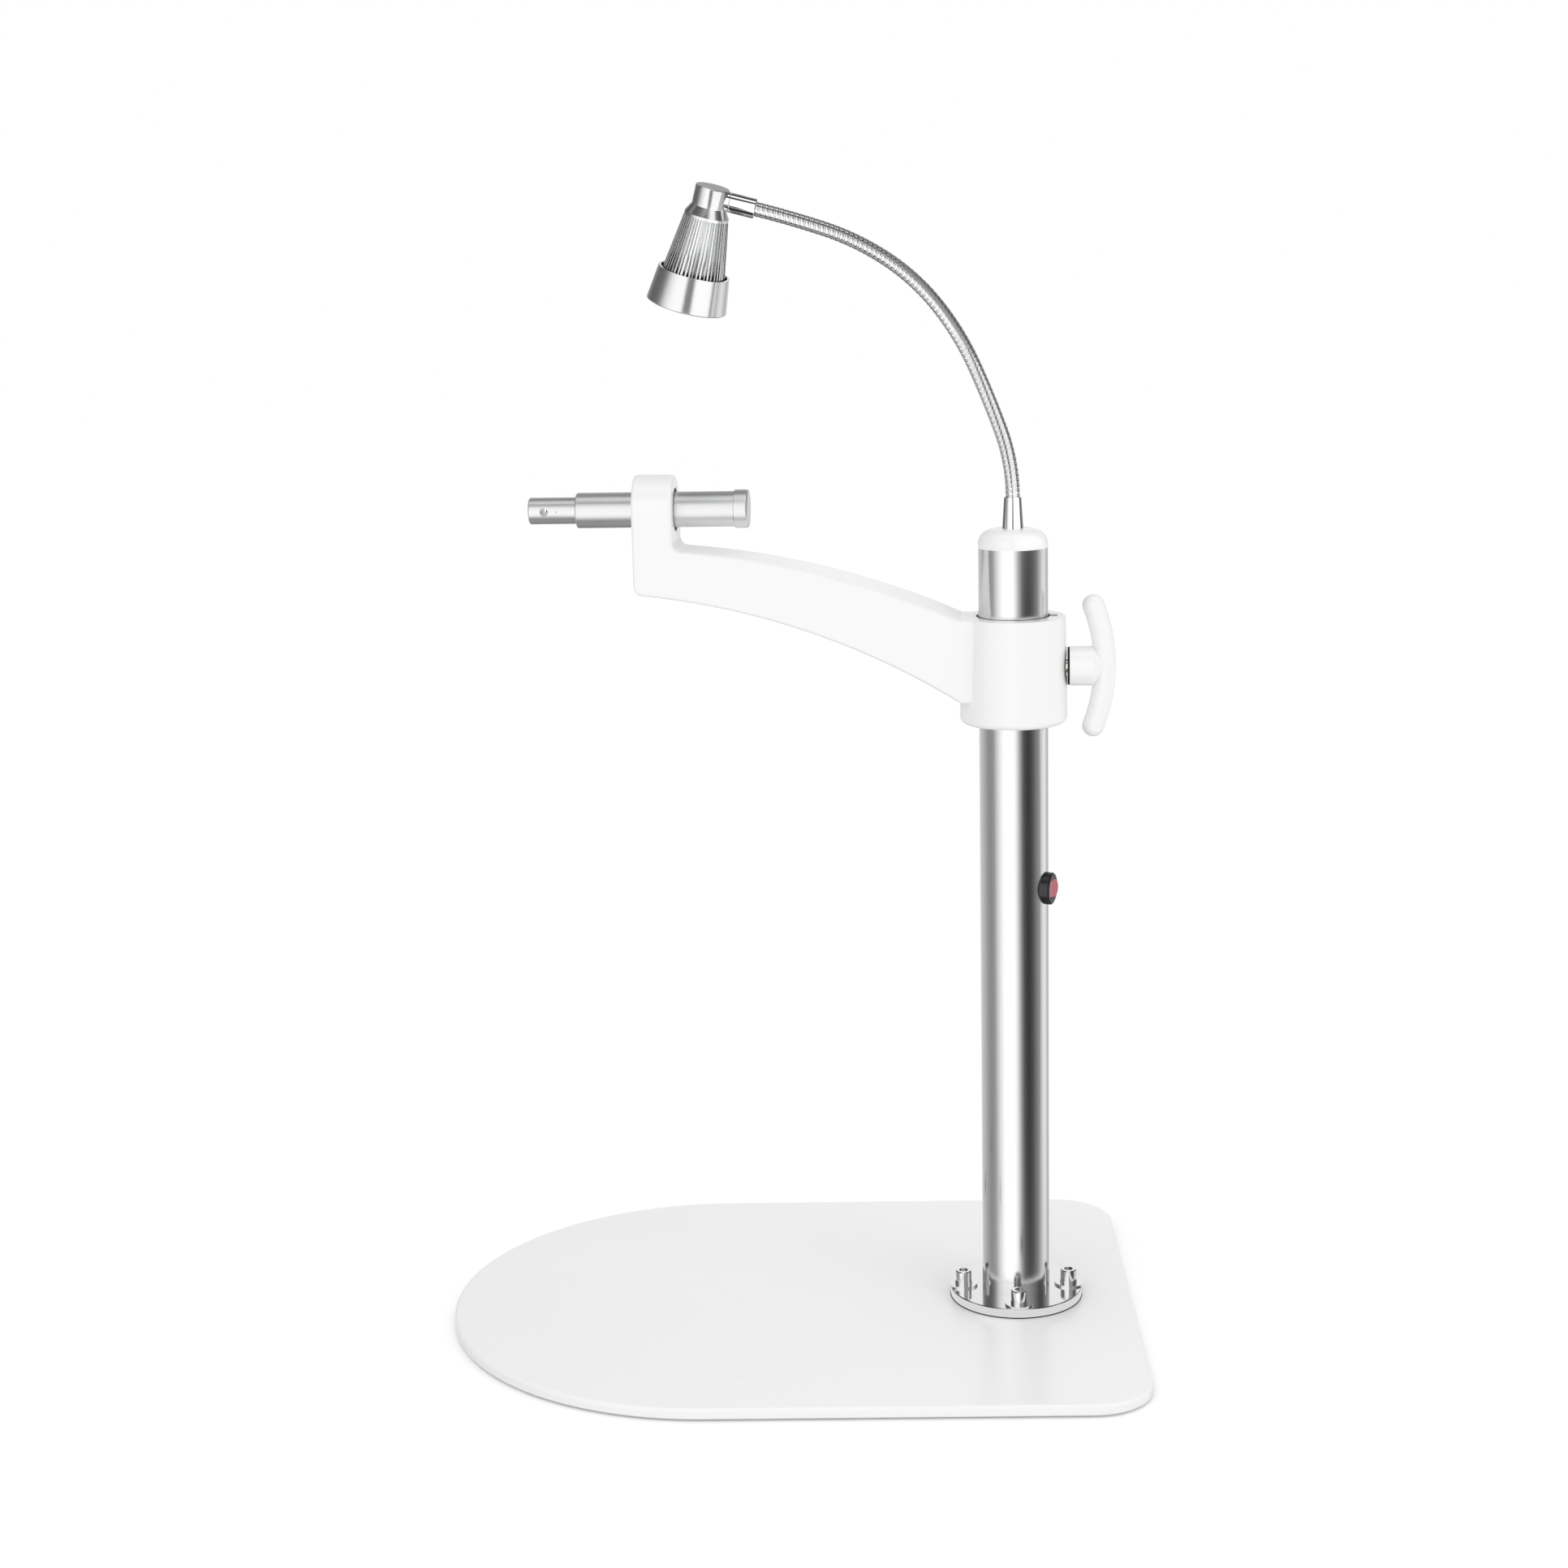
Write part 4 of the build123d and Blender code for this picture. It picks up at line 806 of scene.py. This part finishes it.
# ---- camera and studio ----
def camera():
    yaw, pitch, roll = (math.radians(angle) for angle in CAMERA_DEGREES)
    ahead = Vector((
        math.sin(yaw) * math.cos(pitch), math.cos(yaw) * math.cos(pitch), -math.sin(pitch)
    ))
    level = Vector((math.cos(yaw), -math.sin(yaw), 0))
    upward = level.cross(ahead)
    right = math.cos(roll) * level + math.sin(roll) * upward
    top = math.cos(roll) * upward - math.sin(roll) * level
    data = bpy.data.cameras.new("camera")
    data.lens = CAMERA_LENS
    data.sensor_width = CAMERA_SENSOR
    made = add_to_scene("camera", data)
    turn = Matrix((right, top, -ahead)).transposed().to_4x4()
    made.matrix_world = Matrix.Translation(CAMERA_PLACE) @ turn
    bpy.context.scene.camera = made


def room():
    """World that gloss shows as a room, matt surfaces as plain light, and the rest as white."""
    world = bpy.data.worlds.new("studio")
    bpy.context.scene.world = world
    world.cycles.sampling_method = "NONE"
    shader = Shader(world)

    def ramp(at, table, start, span):
        stops = [((place - start) / span, level) for place, level in table]
        return shader.add("ShaderNodeValToRGB", {"stops": stops}, (at,))

    camera_ray, glossy_ray, glass_ray = (
        shader.add("ShaderNodeLightPath", None, (), name)
        for name in ("Is Camera Ray", "Is Glossy Ray", "Is Transmission Ray")
    )
    toward = shader.add("ShaderNodeTexCoord", None, (), "Generated")
    x, y, z = (shader.add("ShaderNodeSeparateXYZ", None, (toward,), n) for n in range(3))
    compass = shader.maths("ARCTAN2", x, y * -1) / (2 * math.pi)
    turned = shader.maths("FRACT", compass - (ROOM_TURN / 360 - 0.5))
    middle, high, low = (
        ramp(turned, table, start=-180, span=360) for table in (ROOM, ROOM_HIGH, ROOM_LOW)
    )
    around = shader.mix(shader.step(z, *HIGH_EDGE), middle, high)
    around = shader.mix(shader.step(z, *LOW_EDGE), around, low)
    upright = shader.maths("ABSOLUTE", z)
    around = shader.mix(shader.step(upright, *STEEP_EDGE), around, grey(STEEP_LEVEL))
    rise = z * 0.5 + 0.5
    front, back = (ramp(rise, table, start=-1, span=2) for table in (STEEP_FRONT, STEEP_BACK))
    steep = shader.mix(shader.step(y, *BACK_EDGE), front, back)
    metal_room = shader.mix(1.0, around, steep, "MULTIPLY")
    plain_room = PLAIN_LEVEL + PLAIN_RISE * shader.maths("MAXIMUM", z, 0.0)
    seen = shader.mix(glossy_ray, plain_room, metal_room)
    seen = shader.mix(camera_ray, seen, grey(1.0))
    seen = shader.mix(glass_ray, seen, grey(1.0))
    made = shader.add("ShaderNodeBackground", None, (seen, 1.0))
    shader.add("ShaderNodeOutputWorld", None, {"Surface": made})


def floor():
    """Pale floor that takes a shadow, glows a little for the camera and is clear from below."""
    deselect()
    bpy.ops.mesh.primitive_plane_add(size=FLOOR_SIZE)
    plane = bpy.context.object
    plane.name = "floor"
    shader = new_shader("pale floor")
    at = shader.coordinates()
    away = shader.add("ShaderNodeVectorMath", {"operation": "LENGTH"}, (at,), "Value")
    darkest, lightest = (grey(level) for level in FLOOR_SHADE)
    shade = shader.mix(shader.noise(at, scale=3.0), darkest, lightest)
    near, far = (grey(level) for level in FLOOR_GLOW)
    glow = shader.mix(shader.step(away, *FLOOR_REACH), near, far)
    matt = shader.add("ShaderNodeBsdfDiffuse", None, (shade,))
    glowing = shader.add("ShaderNodeEmission", None, (glow, 1.0))
    lit = shader.add("ShaderNodeAddShader", None, (matt, glowing))
    camera_ray = shader.add("ShaderNodeLightPath", None, (), "Is Camera Ray")
    from_above = shader.add("ShaderNodeMixShader", None, {0: camera_ray, 1: matt, 2: lit})
    below = shader.add("ShaderNodeNewGeometry", None, (), "Backfacing")
    clear = shader.add("ShaderNodeBsdfTransparent")
    made = shader.add("ShaderNodeMixShader", None, {0: below, 1: from_above, 2: clear})
    shader.add("ShaderNodeOutputMaterial", None, {"Surface": made})
    plane.data.materials.append(shader.owner)
    plane.visible_glossy = False


def soft_lamp(name, place, size, power):
    """Rectangular lamp that metal doesn't reflect."""
    data = bpy.data.lights.new(name, "AREA")
    data.shape = "RECTANGLE"
    data.size, data.size_y = size
    data.energy = power
    lamp = add_to_scene(name, data)
    lamp.location = place
    lamp.rotation_mode = "QUATERNION"
    lamp.rotation_quaternion = (Vector(LAMP_AIM) - Vector(place)).to_track_quat("-Z", "Y")
    lamp.visible_glossy = False


def only_metal_sees(plane, level):
    """Makes a plane a card that shows in reflections and nowhere else."""
    shader = new_shader(plane.name)
    glow = shader.add("ShaderNodeEmission", None, (grey(1.0), level))
    shader.add("ShaderNodeOutputMaterial", None, {"Surface": glow})
    shader.owner.cycles.emission_sampling = "NONE"
    plane.data.materials.append(shader.owner)
    for ray in ("camera", "diffuse", "transmission", "volume_scatter", "shadow"):
        setattr(plane, "visible_" + ray, False)


def foot_card():
    """Pale disc that reflections show in place of the base plate, which they leave out."""
    deselect()
    bpy.ops.mesh.primitive_circle_add(
        vertices=FOOT_CARD_SIDES, radius=FOOT_CARD_R, fill_type="NGON"
    )
    plane = bpy.context.object
    plane.name = "foot card"
    plane.location = (COLUMN_X, 0, FOOT_CARD_Z)
    only_metal_sees(plane, FOOT_CARD_LEVEL)


def card(name, centre, reach, start, end, low, high, level):
    """Upright card beside a metal piece, between two compass directions from its centre."""
    deselect()
    half = math.radians(end - start) / 2
    middle = math.radians(start + end) / 2
    away = reach * math.cos(half)
    bpy.ops.mesh.primitive_plane_add(size=1)
    plane = bpy.context.object
    plane.name = name
    plane.scale = (2 * reach * math.sin(half), high - low, 1)
    plane.rotation_euler = (math.pi / 2, 0, middle)
    plane.location = (
        centre[0] + away * math.sin(middle),
        centre[1] - away * math.cos(middle),
        (low + high) / 2,
    )
    only_metal_sees(plane, level)


gooseneck()
finned_sink()
# painted contact shadow under the flange
flange_shadow_ring()
camera()
room()
floor()
for lamp in LAMPS:
    soft_lamp(*lamp)
for row in CARDS:
    card(*row)
foot_card()
NODES["base_plate"].visible_glossy = False
bpy.context.scene.view_settings.view_transform = "Standard"
